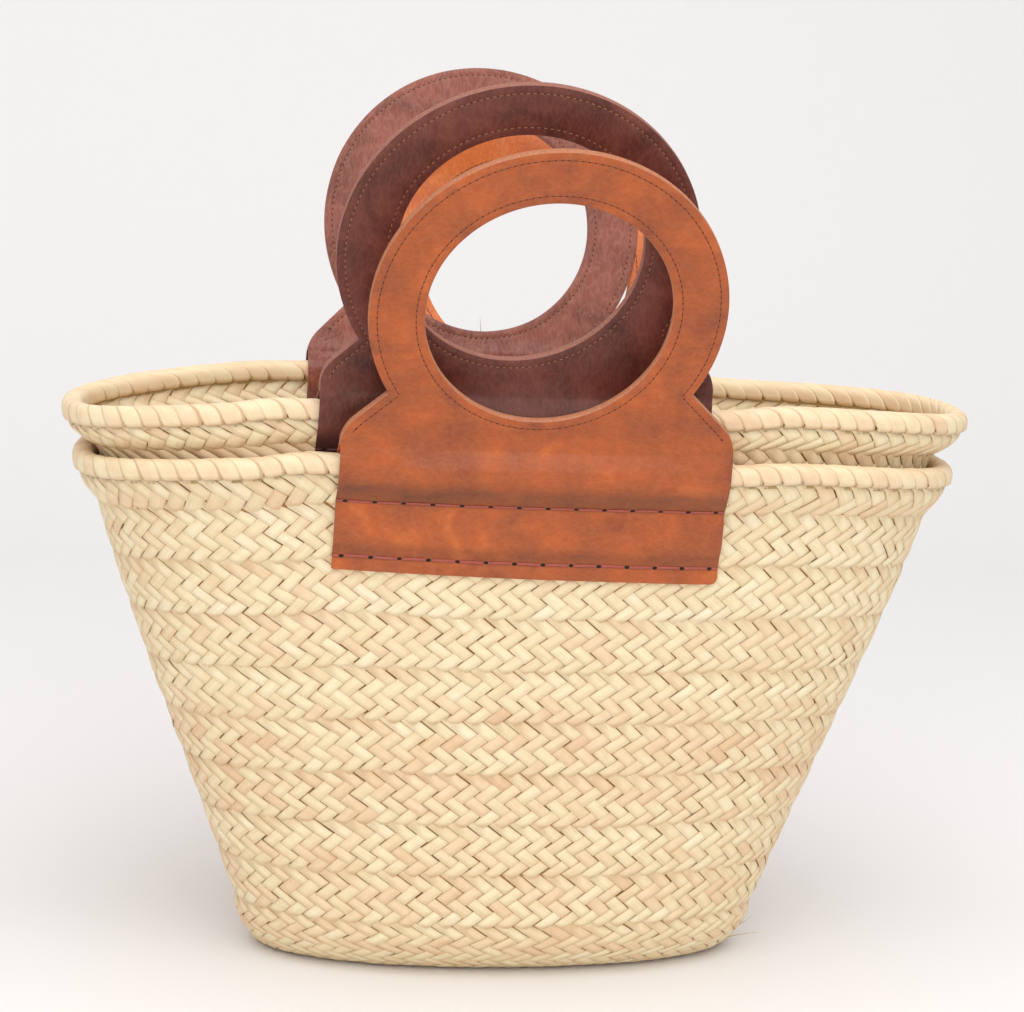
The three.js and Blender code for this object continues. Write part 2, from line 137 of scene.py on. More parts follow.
def gridQuads(rows, columns, wrapRows=False, wrapColumns=False, start=0):
    # quads between the neighbours of a grid of points, numbered row by row from start
    i = np.arange(rows if wrapRows else rows - 1)[:, None]
    j = np.arange(columns if wrapColumns else columns - 1)[None, :]
    under, beside = (i + 1) % rows, (j + 1) % columns
    quads = [i * columns + j, i * columns + beside, under * columns + beside, under * columns + j]
    return np.stack(quads, -1).reshape(-1, 4) + start


def repeatFaces(faces, count, pointsEach):
    # the faces of one small shape, repeated for each copy of it
    offsets = np.arange(count)[:, None, None] * pointsEach
    return (faces[None] + offsets).reshape(-1, faces.shape[1])


def draws(chance, spread, count):
    # one normal draw for each copy of a small shape, ready to act on its grid of points
    return chance.normal(0, spread, (count, 1, 1))


def smooth(value):
    # 3 v^2 - 2 v^3 from 0 to 1, flat beyond
    v = np.clip(value, 0, 1)
    return v * v * (3 - 2 * v)


def bell(value, power=2):
    # e to minus a power of the value
    return np.exp(-value ** power)


def signedPower(value, power):
    # a power of the value's size, with its sign
    return np.sign(value) * np.abs(value) ** power


def unit(vectors):
    # vectors over their own lengths
    length = np.linalg.norm(vectors, axis=-1, keepdims=True)
    return vectors / np.maximum(length, 1e-9)


def lengthsAlong(points):
    # distance of each point from the first along a chain of points
    steps = np.linalg.norm(np.diff(points, axis=0), axis=-1)
    return np.concatenate([[0], np.cumsum(steps)])


def ripple(x, y, scale, seed):
    # soft bumps of about one unit: a sum of sine waves in several directions
    waves = np.random.default_rng(seed)
    total = 0
    for k in range(7):
        turn = waves.uniform(0, tau)
        reach = scale * waves.uniform(0.6, 1.8)
        phase = waves.uniform(0, tau)
        total = total + np.sin((x * math.cos(turn) + y * math.sin(turn)) * tau / reach + phase)
    return total / 3.5


def ellipses(first, second, count, wide, high):
    # round each place, count points at wide cos and high sin along two directions
    angles = np.linspace(0, tau, count, endpoint=False)
    return (first[:, None] * (np.cos(angles) * wide)[:, None]
            + second[:, None] * (np.sin(angles) * high)[:, None])


# the baskets' shape, as in the part's source; True is the inside of the wall
wall = {
    "thickness": 4.5, "firstCourse": 0.12, "courses": 8, "firstUp": 3,
    "seamDepth": {True: 0.4, False: 0.85}, "backing": {True: 0.85, False: 1.1},
    "length": {"foot": 136, "cornerOut": 17, "cornerUp": 30, "flare": 0.358, "belly": 3.5},
    "depth": {"foot": 52, "cornerOut": 25, "cornerUp": 37, "flare": 0.137, "belly": 0},
    "footRoundness": 2.1, "rimRoundness": 2.5, "tipHeight": 285.5, "rimRise": 16.5,
    "wallDrop": 6.4, "topExtra": 3.2, "pullBeyond": 4, "pullFade": 40,
}
nest = {"rise": 29, "clearance": 0.3, "flap": 1.8, "seatMargin": 0.8}
nest["squeeze"] = (wall["thickness"] + 2 * nest["flap"] + 3 * nest["clearance"] + nest["seatMargin"]
                   - wall["depth"]["flare"] * nest["rise"])
handle = {
    "holeRadius": 65.5, "halfWidth": 106, "shoulderRadius": 22, "shoulderSlope": math.radians(45),
    "board": 2.2, "skin": 1.4, "glue": 0.3, "foldAboveRim": 12.8,
}
baskets = {
    "outer": {
        "foot": 0, "squeeze": 0, "tilt": 2.5, "lip": {"length": 6, "depth": 6, "share": 0.07},
        "ringRadius": 94,
        "handles": {
            "front": {"across": -8.8, "lift": -2.2, "roll": 0.4, "lean": 23, "sag": (0, 0),
                      "aside": -3.9, "height": 84.3, "sideHeight": 1.5, "holeUp": 0,
                      "rows": ((18.3, 19.2), (50, 52.3)), "hem": (57.6, 61.2),
                      "hemCorners": (0.8, 4.0)},
            "back": {"across": 27, "lift": -7, "roll": 0, "lean": 26, "sag": (0, 0),
                     "aside": -1.5, "height": 84.3, "sideHeight": 1.5, "holeUp": 0},
        },
    },
    "inner": {
        "foot": nest["rise"], "squeeze": nest["squeeze"], "tilt": 4,
        "lip": {"length": 13, "depth": 1.5, "share": 0.056},
        "ringRadius": 95.5,
        "handles": {
            "front": {"across": -19.7, "lift": -3.5, "roll": 0, "lean": 21, "sag": (0, 0),
                      "aside": -7.4, "height": 84.8, "sideHeight": 5, "holeUp": 3},
            "back": {"across": -6.2, "lift": -10.5, "roll": 0, "lean": 15, "sag": (6, 16),
                     "aside": -0.8, "height": 79, "sideHeight": -4, "holeUp": 0},
        },
    },
}
facing = {"front": -1, "back": 1}


def halfSpan(side, height, inset):
    # half the wall's size: foot, a corner that turns up as a parabola, belly, steady flare
    up = side["cornerUp"] - inset
    rise = height - inset
    corner = (side["cornerOut"] - inset) * (1 - (1 - np.clip(rise / up, 0, 1)) ** 2)
    belly = side["belly"] * np.sin(np.pi * np.clip(height / wall["tipHeight"], 0, 1) ** 2)
    return side["foot"] + corner + belly + side["flare"] * np.maximum(0, rise - up)


def heldHeight(basket, side, x):
    # the edge's centre line under a handle: level, or rolled with the handle
    held = basket["handles"][side]
    top = basket["foot"] + wall["tipHeight"] + wall["rimRise"] + held["lift"]
    return top - math.tan(math.radians(held["roll"])) * (x - held["across"])


def rimHeight(basket, angle):
    # the edge's own height rises midway as a squared sine, and eases to the held height
    side = wall["length"]
    reach = halfSpan(dict(side, belly=0), wall["tipHeight"], 0)
    along = signedPower(np.cos(angle), 2 / wall["rimRoundness"])
    x = reach * along
    height = 0
    for name, here in (("front", np.sin(angle) < 0), ("back", np.sin(angle) >= 0)):
        held = basket["handles"][name]
        past = np.abs(x - held["across"]) - handle["halfWidth"] - wall["pullBeyond"]
        sag = np.where(x < held["across"], *held["sag"])
        own = (basket["foot"] + wall["tipHeight"]
               + (wall["rimRise"] - sag) * np.sin(angle) ** 2 + basket["tilt"] * along)
        level = heldHeight(basket, name, x)
        height = height + here * (level + (own - level) * smooth(past / wall["pullFade"]))
    return height


def wallSizes(basket, height, share, inset):
    # half length, half depth and roundness of the wall at a height above its foot; the lip
    # eases outwards over the last share of the height
    lip = smooth(1 - (1 - share) / basket["lip"]["share"])
    length, depth = (halfSpan(wall[way], height, inset) + basket["lip"][way] * lip
                     for way in ("length", "depth"))
    roundness = wall["footRoundness"] + (
        wall["rimRoundness"] - wall["footRoundness"]) * height / wall["tipHeight"]
    return length, depth - basket["squeeze"], roundness


def superellipse(angle, length, depth, roundness, z):
    # a level loop: half length and half depth times cosine and sine to the power 2 / roundness
    power = 2 / roundness
    return np.stack([length * signedPower(np.cos(angle), power),
                     depth * signedPower(np.sin(angle), power), z + 0 * angle], -1)


def wallPoint(basket, angle, share, inset):
    # a superellipse at each share of the wall's height
    top = rimHeight(basket, angle) - wall["wallDrop"] - basket["foot"]
    height = inset + share * (top - inset)
    return superellipse(angle, *wallSizes(basket, height, share, inset), basket["foot"] + height)


def evenChain(points, count):
    # a chain of points, parted again into equal lengths by count points
    lengths = lengthsAlong(points)
    target = np.linspace(0, 1, count) * lengths[-1]
    return np.stack([np.interp(target, lengths, column) for column in points.T], -1)


faceSizes = {"round": 1024, "angles": 4097, "shares": 141, "footRows": 40, "courseRing": 257,
             "backingColumns": 8, "backingRows": (5, 4)}


def faceGrid(basket, inset):
    # one face of a basket as a grid: rows from the foot's middle out to its edge and up the wall,
    # columns of equal length round it; v is the distance up from the foot's edge
    angles = np.linspace(0, tau, faceSizes["angles"])
    shares = np.linspace(0, 1 + wall["topExtra"] / wall["tipHeight"], faceSizes["shares"])
    halfLength = wall["length"]["foot"]
    halfDepth = wall["depth"]["foot"] - basket["squeeze"]
    footRows = faceSizes["footRows"]
    inwards = np.linspace(halfDepth, halfDepth / footRows, footRows)
    floor = [superellipse(angles, halfLength - inward, halfDepth - inward, wall["footRoundness"],
                          basket["foot"] + inset) for inward in inwards]
    upright = [wallPoint(basket, angles, share, inset) for share in shares]
    points = np.array([evenChain(loop, faceSizes["round"] + 1) for loop in floor + upright])
    rows = points[footRows:]
    climb = np.linalg.norm(np.diff(rows, axis=0), axis=-1).mean(1)
    v = np.concatenate([-inwards, [0], np.cumsum(climb)])
    along = np.roll(points[:, :-1], -1, 1) - np.roll(points[:, :-1], 1, 1)
    along = np.concatenate([along, along[:, :1]], 1)
    normals = unit(np.cross(along, np.gradient(points, axis=0)))
    normals[:footRows] = (0, 0, -1)
    return {"v": v, "points": points, "normals": -normals if inset else normals,
            "inside": bool(inset)}


def onFace(grid, v, part):
    # points and normals at a distance v up the face and a part of the way round, bilinear
    row = np.interp(v, grid["v"], np.arange(len(grid["v"])))
    column = (part % 1.0) * faceSizes["round"]
    i = np.clip(row.astype(int), 0, len(grid["v"]) - 2)
    j = np.clip(column.astype(int), 0, faceSizes["round"] - 1)
    a, b = (row - i)[..., None], (column - j)[..., None]
    point, normal = (
        (table[i, j] * (1 - b) + table[i, j + 1] * b) * (1 - a)
        + (table[i + 1, j] * (1 - b) + table[i + 1, j + 1] * b) * a
        for table in (grid["points"], grid["normals"]))
    return point, unit(normal)


# dried palm leaf: cream and straw yellow, with pinkish and greenish leaves among them
leafLook = {
    "stops": [(0.0, "#e6c6a0"), (0.2, "#eed5b0"), (0.45, "#f1e0b9"), (0.65, "#f4e7c2"),
              (0.85, "#f6e9ca"), (0.95, "#ece6c1"), (1.0, "#e5dfb5")],
    "streak": [(0.3, "#c89a66"), (0.5, "#ffffff"), (0.75, "#fff6dc")],
    "warm": [(0.35, "#e3bf9a"), (0.6, "#ffffff")], "warmShare": 0.22, "shadow": "#b58858",
    "fibreWidth": 1.1, "fibreLength": 22.0, "fibreDepth": 0.0003,
}


multiply = {"data_type": "RGBA", "blend_type": "MULTIPLY"}   # its colours are inputs 6 and 7


def makePalmLeaf(name, roughness, gloss, deepen, streaks):
    # dried palm leaf: smooth and satin along its fibres, with fine lengthwise streaks; shadow
    # colour is mixed in by deepen times how far a point is tucked under its neighbours
    material, tree = newMaterial(name)
    tone = addNode(tree, "Attribute", {"attribute_name": "leafTone"})
    tucked = addNode(tree, "Attribute", {"attribute_name": "leafTucked"})
    place = addNode(tree, "UVMap", {"uv_map": "UVMap"})
    stretch = addNode(tree, "Mapping", {
        "Scale": (1 / leafLook["fibreLength"], 1 / leafLook["fibreWidth"], 1)}, {"Vector": place})
    fibres = addNode(tree, "TexNoise", {"Scale": 1.0, "Detail": 3.0, "Roughness": 0.6},
                     {"Vector": stretch})
    blotch = addNode(tree, "TexNoise", {"Scale": 0.09, "Detail": 2.0}, {"Vector": place})
    colour = addNode(tree, "ValToRGB", {"stops": leafLook["stops"]}, {"Fac": tone.outputs["Fac"]})
    for share, stops, pattern in ((streaks, "streak", fibres),
                                  (leafLook["warmShare"], "warm", blotch)):
        tint = addNode(tree, "ValToRGB", {"stops": leafLook[stops]}, {"Fac": pattern})
        colour = addNode(tree, "Mix", {**multiply, 0: share}, {6: colour, 7: tint}).outputs[2]
    amount = addNode(tree, "Math", {"operation": "MULTIPLY", 1: deepen}, {0: tucked.outputs["Fac"]})
    shaded = addNode(tree, "Mix", {"data_type": "RGBA", 7: toLinear(leafLook["shadow"])},
                     {0: amount, 6: colour})
    bump = addNode(tree, "Bump", {"Strength": 0.25, "Distance": leafLook["fibreDepth"]},
                   {"Height": fibres})
    shader = addNode(tree, "BsdfPrincipled", {
        "Roughness": roughness, "IOR": 1.45, "Specular IOR Level": gloss},
        {"Base Color": shaded.outputs[2], "Normal": bump})
    addNode(tree, "OutputMaterial", {}, {"Surface": shader})
    return material


def makePlain(name, first, second, roughness, scale):
    # one even material, mottled from a first to a second colour: scale is its marks' size in mm
    material, tree = newMaterial(name)
    place = addNode(tree, "TexCoord")
    marks = addNode(tree, "TexNoise", {"Scale": 1 / (scale * mm), "Detail": 4.0},
                    {"Vector": place.outputs["Object"]})
    ramp = addNode(tree, "ValToRGB", {"stops": [(0.3, first), (0.7, second)]}, {"Fac": marks})
    bump = addNode(tree, "Bump", {"Strength": 0.5, "Distance": 0.0002}, {"Height": marks})
    shader = addNode(tree, "BsdfPrincipled", {"Roughness": roughness, "Specular IOR Level": 0.5},
                     {"Base Color": ramp, "Normal": bump})
    addNode(tree, "OutputMaterial", {}, {"Surface": shader})
    return material


def makeLeather(name, look, paintedShadeColour="#c8d6ee"):
    # vegetable-tanned cowhide, waxed and rubbed: soft gloss, cloudy colour, fine grain, creases
    # where it has been bent, their paler tints partly painted sheen, and painted shade above the
    # stitch rows
    material, tree = newMaterial(name)
    place = addNode(tree, "UVMap", {"uv_map": "UVMap"})
    clouds = addNode(tree, "TexNoise", {
        "Scale": 1 / look["cloud"], "Detail": 5.0, "Roughness": 0.55, "Distortion": 0.6},
        {"Vector": place})
    mottle = addNode(tree, "TexNoise", {"Scale": 1 / 5.0, "Detail": 6.0, "Roughness": 0.75},
                     {"Vector": place})
    grain = addNode(tree, "TexVoronoi", {"Scale": 1 / 0.9, "feature": "SMOOTH_F1"},
                    {"Vector": place})
    sway = addNode(tree, "TexNoise", {"Scale": 1 / 14.0, "Detail": 3.0}, {"Vector": place})
    swayed = addNode(tree, "VectorMath", {"operation": "MULTIPLY_ADD", 1: (13, 13, 0)},
                     {0: sway.outputs["Color"], 2: place})
    squeezed = addNode(tree, "Mapping", {
        "Scale": (1 / look["creaseWidth"], 1 / look["creaseLength"], 1), "Rotation": (0, 0, 0.3)},
        {"Vector": swayed})
    creases = addNode(tree, "TexVoronoi", {"Scale": 1.0, "feature": "DISTANCE_TO_EDGE"},
                      {"Vector": squeezed})
    base = addNode(tree, "ValToRGB", {"stops": look["stops"]}, {"Fac": clouds})
    fine = addNode(tree, "ValToRGB", {"stops": [(0.3, 0.56), (0.7, 1.0)]}, {"Fac": mottle})
    mixed = addNode(tree, "Mix", {**multiply, 0: 0.45}, {6: base, 7: fine})
    # crease lines mixed towards the crease colour: real creasing, and where the tint is paler,
    # painted sheen on the folds
    line = addNode(tree, "ValToRGB", {"stops": [(0.0, 1.0), (0.06, 0.4), (0.2, 0.0)]},
                   {"Fac": creases})
    patchy = addNode(tree, "Math", {"operation": "MULTIPLY"}, {0: line, 1: mottle})
    paleness = addNode(tree, "Math", {"operation": "MULTIPLY", 1: look["creasePale"]}, {0: patchy})
    creased = addNode(tree, "Mix", {"data_type": "RGBA", 7: toLinear(look["creaseColour"])},
                      {0: paleness, 6: mixed.outputs[2]})
    # painted shade: a bluish-grey multiply darkens the flap above each row of stitches, where it
    # turns downwards
    paintedShade = addNode(tree, "Attribute", {"attribute_name": "leatherPressed"})
    darkened = addNode(tree, "Mix", {**multiply, 7: toLinear(paintedShadeColour)},
                       {0: paintedShade.outputs["Fac"], 6: creased.outputs[2]})
    gloss = addNode(tree, "MapRange", {
        "From Min": 0.3, "From Max": 0.7, "To Min": look["rough"] - 0.06,
        "To Max": look["rough"] + 0.1}, {"Value": mottle})
    pores = addNode(tree, "Bump", {"Strength": 0.35, "Distance": 0.00012}, {"Height": grain})
    folds = addNode(tree, "Bump", {"Strength": look["creaseDepth"], "Distance": 0.0005},
                    {"Height": patchy, "Normal": pores})
    shader = addNode(tree, "BsdfPrincipled", {
        "IOR": 1.45, "Specular IOR Level": 0.38, "Coat Weight": 0.08, "Coat Roughness": 0.25},
        {"Base Color": darkened.outputs[2], "Roughness": gloss, "Normal": folds})
    addNode(tree, "OutputMaterial", {}, {"Surface": shader})
    return material


leathers = {
    # tan cowhide, and dark brown cowhide: smooth on the faces seen first, bent on the others;
    # the bent copies are more creased, and their lighter colour is painted sheen
    "outer": {
        "smooth": {"stops": [(0.25, "#8c452a"), (0.42, "#a8542b"), (0.6, "#bb5c29"),
                             (0.8, "#d67235")], "cloud": 26.0,
                   "creaseColour": "#dc9a6c", "creasePale": 0.16, "creaseWidth": 6.0,
                   "creaseLength": 2.6, "creaseDepth": 0.1, "rough": 0.36},
        "bent_with_painted_sheen": {"stops": [(0.25, "#d3652a"), (0.5, "#ec7c38"), (0.75, "#f89152")], "cloud": 26.0,
                 "creaseColour": "#a04a1e", "creasePale": 0.6, "creaseWidth": 2.6,
                 "creaseLength": 8.0, "creaseDepth": 0.45, "rough": 0.36},
    },
    "inner": {
        "smooth": {"stops": [(0.25, "#46201a"), (0.5, "#653127"), (0.75, "#804436")], "cloud": 30.0,
                   "creaseColour": "#a46c5a", "creasePale": 0.27, "creaseWidth": 3.0,
                   "creaseLength": 9.0, "creaseDepth": 0.15, "rough": 0.48},
        "bent_with_painted_sheen": {"stops": [(0.25, "#6c3326"), (0.5, "#8c4a39"), (0.75, "#a45d4a")], "cloud": 22.0,
                 "creaseColour": "#c79a8b", "creasePale": 0.4, "creaseWidth": 2.4,
                 "creaseLength": 9.0, "creaseDepth": 0.3, "rough": 0.38},
    },
}
plainLooks = {
    # first and second colour of the mottle, roughness, size of its marks in mm
    "painted_shade_leaf_layers": ("#8a6038", "#b08450", 0.9, 3.0),       # painted shade: dark brown for the leaf layers behind the face
    "leaf_stalks": ("#b0935c", "#c9ad76", 0.8, 2.0),             # dried, uncut palm stalks
    "pressed_fibre_board": ("#9f8262", "#b79a79", 0.9, 1.5),     # stiff board, sawn
    "raw_tan_leather_edge": ("#a86748", "#c4835f", 0.7, 1.2),    # cut and rubbed, undyed inside
    "raw_brown_leather_edge": ("#875345", "#a56d5a", 0.7, 1.2),
    "tan_machine_thread": ("#5e2f1c", "#8a4a2c", 0.7, 0.6),      # twisted polyester
    "brown_machine_thread": ("#8f6040", "#a87852", 0.7, 0.6),
    "waxed_red_thread": ("#9a4338", "#b35a4a", 0.5, 0.8),        # flat waxed thread, sewn by hand
    "waxed_brown_thread": ("#4a241c", "#62342a", 0.45, 0.6),
    "needle_hole": ("#1c0d08", "#2c150e", 0.9, 0.5),             # the shade in an awl's hole
    # painted shade of the smaller needle holes round the rings
    "fine_needle_hole": ("#3a1c10", "#54291a", 0.9, 0.5),
}
palmPlait = makePalmLeaf("plaited_palm_leaf", 0.6, 0.35, 0.75, 0.18)
palmWinding = makePalmLeaf("wound_palm_leaf", 0.48, 0.42, 0.6, 0.1)
plain = {name: makePlain(name, *look) for name, look in plainLooks.items()}
leatherOf = {
    (name, kind): makeLeather(f"{name}_leather_{kind}", look)
    for name, kinds in leathers.items() for kind, look in kinds.items()
}
edgeOf = {"outer": plain["raw_tan_leather_edge"], "inner": plain["raw_brown_leather_edge"]}
threadOf = {"outer": plain["tan_machine_thread"], "inner": plain["brown_machine_thread"]}
waxedOf = {"outer": plain["waxed_red_thread"], "inner": plain["waxed_brown_thread"]}
print("materials made")


plait = {
    "pitch": 11.5,       # between two leaves of a row
    "rowHeight": 7.4,    # from one row of leaves to the next
    "slant": 0.84,       # a leaf's run along the row, over the pitch: steeper than the lattice's
    "crown": 0.36, "tuck": 0.72, "reach": 1.12, "width": 0.975, "under": 2.1,
    "sink": 0.12, "footSink": 0.55, "footUntil": 3, "topSink": 0.6, "dome": (0.7, 0.35),
    # how far leaves differ, and the sway of a course: height, waves round the basket, their start
    "spread": {"width": 0.025, "reach": 0.02, "across": 0.026, "skew": 0.028, "along": 0.03,
               "lean": 0.2, "lift": 0.08, "rowTone": 0.09, "tone": 0.06},
    "sway": ((0.7, 3, 1), (0.5, 8, 3)),
    "toneFrom": 0.26, "toneSpan": 0.38, "seamShade": 0.5, "leafHalf": (7.0, 3.1),
}
leafShapes = {
    # stations along and across a leaf; the outermost ones are tucked under its neighbours
    "shown": (np.array([-1.0, -0.86, -0.4, 0.1, 0.55, 0.88, 1.0]),
              np.array([-1.0, -0.88, 0, 0.88, 1.0])),
    "hidden": (np.array([-1.0, -0.8, 0, 0.8, 1.0]), np.array([-1.0, -0.85, 0.85, 1.0])),
}


def courseLines(grid, basket):
    # distances up the face at which one course of the braid is sewn to the next
    foot, top = grid["v"][0], grid["v"][-1]
    first = top * wall["firstCourse"] + wall["firstUp"]
    climbs = np.linspace(first, top * (1 - basket["lip"]["share"]), wall["courses"] + 1)
    return np.concatenate([[foot, foot / 2, 0], climbs, [top]])


def seamDip(v, lines, inside):
    # how far the face falls back towards the seams: seamDepth * |2 s - 1|^3, with s the share
    # climbed of the course that v lies in; less on the inside
    place = np.interp(v, lines, np.arange(len(lines)))
    return wall["seamDepth"][inside] * np.abs(2 * (place - np.floor(place)) - 1) ** 3


def plaitFace(name, basket, grid, shape, seed):
    # twill plait of two leaf families: each leaf is a parallelogram on the lattice of crossings,
    # x = slant t + u/2 and y = -t + u/(2 slant) in half pitches and half rows (mirrored in
    # every second row), which tiles without gaps, domed by
    # crown * (1 - dome t^4 - dome u^2) and dropped under its neighbours at its rim
    chance = np.random.default_rng(seed)
    spread = plait["spread"]
    along, across = leafShapes[shape]
    t, u = along[:, None], across[None, :]
    edge = (np.abs(t) > 0.99) | (np.abs(u) > 0.99)
    lines = courseLines(grid, basket)
    blocks, tones, tucks, maps = [], [], [], []
    for low, high in zip(lines[:-1], lines[1:]):
        rows = max(2, 2 * round((high - low) / plait["rowHeight"] / 2))
        step = (high - low) / rows
        ringParts = np.linspace(0, 1, faceSizes["courseRing"]) * 0.99999
        ring, _ = onFace(grid, np.full(len(ringParts), (low + high) / 2), ringParts)
        count = int(round(lengthsAlong(ring)[-1] / plait["pitch"]))
        start = chance.uniform(0, 1)
        r, n = [a.ravel() for a in np.meshgrid(np.arange(rows), np.arange(count), indexing="ij")]
        way = np.where(r % 2 == 0, 1.0, -1.0)
        turn, row, size = way[:, None, None], r[:, None, None], len(r)
        wide = plait["width"] * (1 + draws(chance, spread["width"], size))
        reach = plait["reach"] * (1 + draws(chance, spread["reach"], size))
        tt = t[None] * reach * np.where((row == 0) & (t[None] < 0), plait["under"], 1.0)
        uu = u[None] * wide + draws(chance, spread["across"], size)
        skew = draws(chance, spread["skew"], size)
        x = plait["slant"] * tt + turn * 0.5 * uu + draws(chance, spread["along"], size)
        y = -turn * tt * (1 + skew) + 0.5 / plait["slant"] * uu
        part = (n[:, None, None] + start + turn * 0.25 + x * 0.5) / count
        sway = sum(far * np.sin(tau * (waves * part + turns * start))
                   for far, waves, turns in plait["sway"])
        v = high - (row + 0.5) * step + y * step / 2 + sway * min(1, step / 7)
        seam = np.abs(v - np.where(row < rows / 2, high, low))
        lean = draws(chance, spread["lean"], size)
        dome = 1 - plait["dome"][0] * np.abs(t[None]) ** 4 - plait["dome"][1] * u[None] ** 2
        height = plait["crown"] * dome + lean * u[None] + draws(chance, spread["lift"], size)
        height = height - seamDip(np.clip(v, low + 0.01, high - 0.01), lines, grid["inside"])
        height = height - plait["topSink"] * smooth((v - high + 1.5) / 3) * (row == 0)
        height = np.where(edge[None], height - plait["tuck"], height)
        height = height - np.where(v < plait["footUntil"], plait["footSink"], plait["sink"])
        points, normals = onFace(grid, np.clip(v, grid["v"][0], grid["v"][-1]), part)
        blocks.append(points + normals * height[..., None])
        strand = n - way * (r // 2) * 2
        rowTone = chance.normal(0, spread["rowTone"], rows)[r] + chance.normal(0, spread["rowTone"])
        table = chance.uniform(0, 1, 4 * count + 16)
        own = table[(strand.astype(int) * 2 + (way > 0)) % len(table)]
        tone = (plait["toneFrom"] + plait["toneSpan"] * own + rowTone
                + chance.normal(0, spread["tone"], size))
        tones.append(np.broadcast_to(np.clip(tone, 0, 1)[:, None, None], x.shape).reshape(-1))
        dark = np.abs(t) ** 20 + np.abs(u) ** 18 + plait["seamShade"] * bell(seam / 1.6)
        tucks.append(np.clip(dark, 0, 1).reshape(-1))
        shift = chance.uniform(0, patternRoom, (size, 1, 1, 2))
        leaf = np.stack(np.broadcast_arrays(t * plait["leafHalf"][0], u * plait["leafHalf"][1]), -1)
        maps.append((leaf + shift).reshape(-1, 2))
    cells = np.concatenate([b.reshape(-1, len(along) * len(across), 3) for b in blocks])
    quads = gridQuads(len(along), len(across))
    if not grid["inside"]:
        quads = quads[:, ::-1]
    faces = repeatFaces(quads, len(cells), cells.shape[1])
    print(name, len(cells), "leaves")
    return makePiece(name, cells, [faces], [palmPlait], uv=np.concatenate(maps), values={
        "leafTone": np.concatenate(tones), "leafTucked": np.concatenate(tucks)})


def plaitBacking(name, basket, outside, inside):
    # the layers behind the shown leaves: both faces moved into the wall, joined at the top; their
    # dark brown colour is painted shade, seen through the gaps between the leaves
    columns = np.arange(0, faceSizes["round"], faceSizes["backingColumns"])
    footRows, last = faceSizes["footRows"], len(outside["v"]) - 1
    footStep, wallStep = faceSizes["backingRows"]
    rows = np.unique([*range(0, footRows, footStep), *range(footRows, last, wallStep), last])
    sheets = []
    for grid in (outside, inside):
        depth = wall["backing"][grid["inside"]]
        depth = depth + seamDip(grid["v"][rows], courseLines(grid, basket), grid["inside"])
        normals = grid["normals"][rows][:, columns]
        sheets.append(grid["points"][rows][:, columns] - normals * depth[:, None, None])
    loops = np.concatenate([sheets[0], sheets[1][::-1]])
    faces = gridQuads(len(loops), len(columns), wrapColumns=True)
    piece = makePiece(name, loops, [faces], [plain["painted_shade_leaf_layers"]])
    weld(piece, 0.02)
    return piece


for basketName, basket in baskets.items():
    body = basketName + "_basket"
    outside, inside = faceGrid(basket, 0), faceGrid(basket, wall["thickness"])
    backing = plaitBacking(basketName + "_plait_layers", basket, outside, inside)
    shownSide = plaitFace(basketName + "_plait_outside", basket, outside, "shown",
                          11 + basket["foot"])
    otherSide = plaitFace(basketName + "_plait_inside", basket, inside,
                          "shown" if basketName == "inner" else "hidden", 23 + basket["foot"])
    for piece in (backing, shownSide, otherSide):
        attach(piece, body)
    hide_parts(basketName + "_plaited_body")
print("plaits made")


winding = {
    "turns": 108, "halfWidth": 6.2, "halfHeight": 6.8, "waist": 0.4, "footHalfWidth": 5.4,
    "skirt": 4.6, "tuckIn": 2.6, "leg": 0.16, "legNarrower": 0.2, "roundness": 2.5,
    "lean": 1.35, "leanInside": 0.8, "overlap": 1.14, "lift": 0.45, "swell": 0.2,
    "sink": 0.55, "border": 1.1, "tone": 0.27, "leaf": (46.0, 13.0), "leanPower": 1.3,
    "shade": (0.85, 0.7), "shadeFrom": 0.79,
    "stations": (-0.02, 0.0, 0.1, 0.35, 0.62, 0.79, 0.86, 0.95, 1.02), "across": 21,
    "spread": {"lean": 0.035, "stretch": 0.02, "place": 0.022, "lift": 0.15, "sink": 0.06,
               "tone": 0.07},
}


def rimTable(basket, count=4096):
    # the edge's centre line in equal lengths, and the level direction out of the basket
    angles = np.linspace(0, tau, 2 * count + 1)
    line = sum(wallPoint(basket, angles, 1.0, inset) for inset in (0, wall["thickness"])) / 2
    line[:, 2] = rimHeight(basket, angles)
    points = evenChain(line, count + 1)[:-1]
    along = np.roll(points, -1, 0) - np.roll(points, 1, 0)
    return points, unit(np.stack([along[:, 1], -along[:, 0], 0 * along[:, 0]], -1))


def onRim(table, part):
    # points and outward directions at a part of the way round the edge
    place = (part % 1.0) * len(table[0])
    i = place.astype(int) % len(table[0])
    b = (place - np.floor(place))[..., None]
    point, out = (values[i] * (1 - b) + values[(i + 1) % len(values)] * b for values in table)
    return point, unit(out)


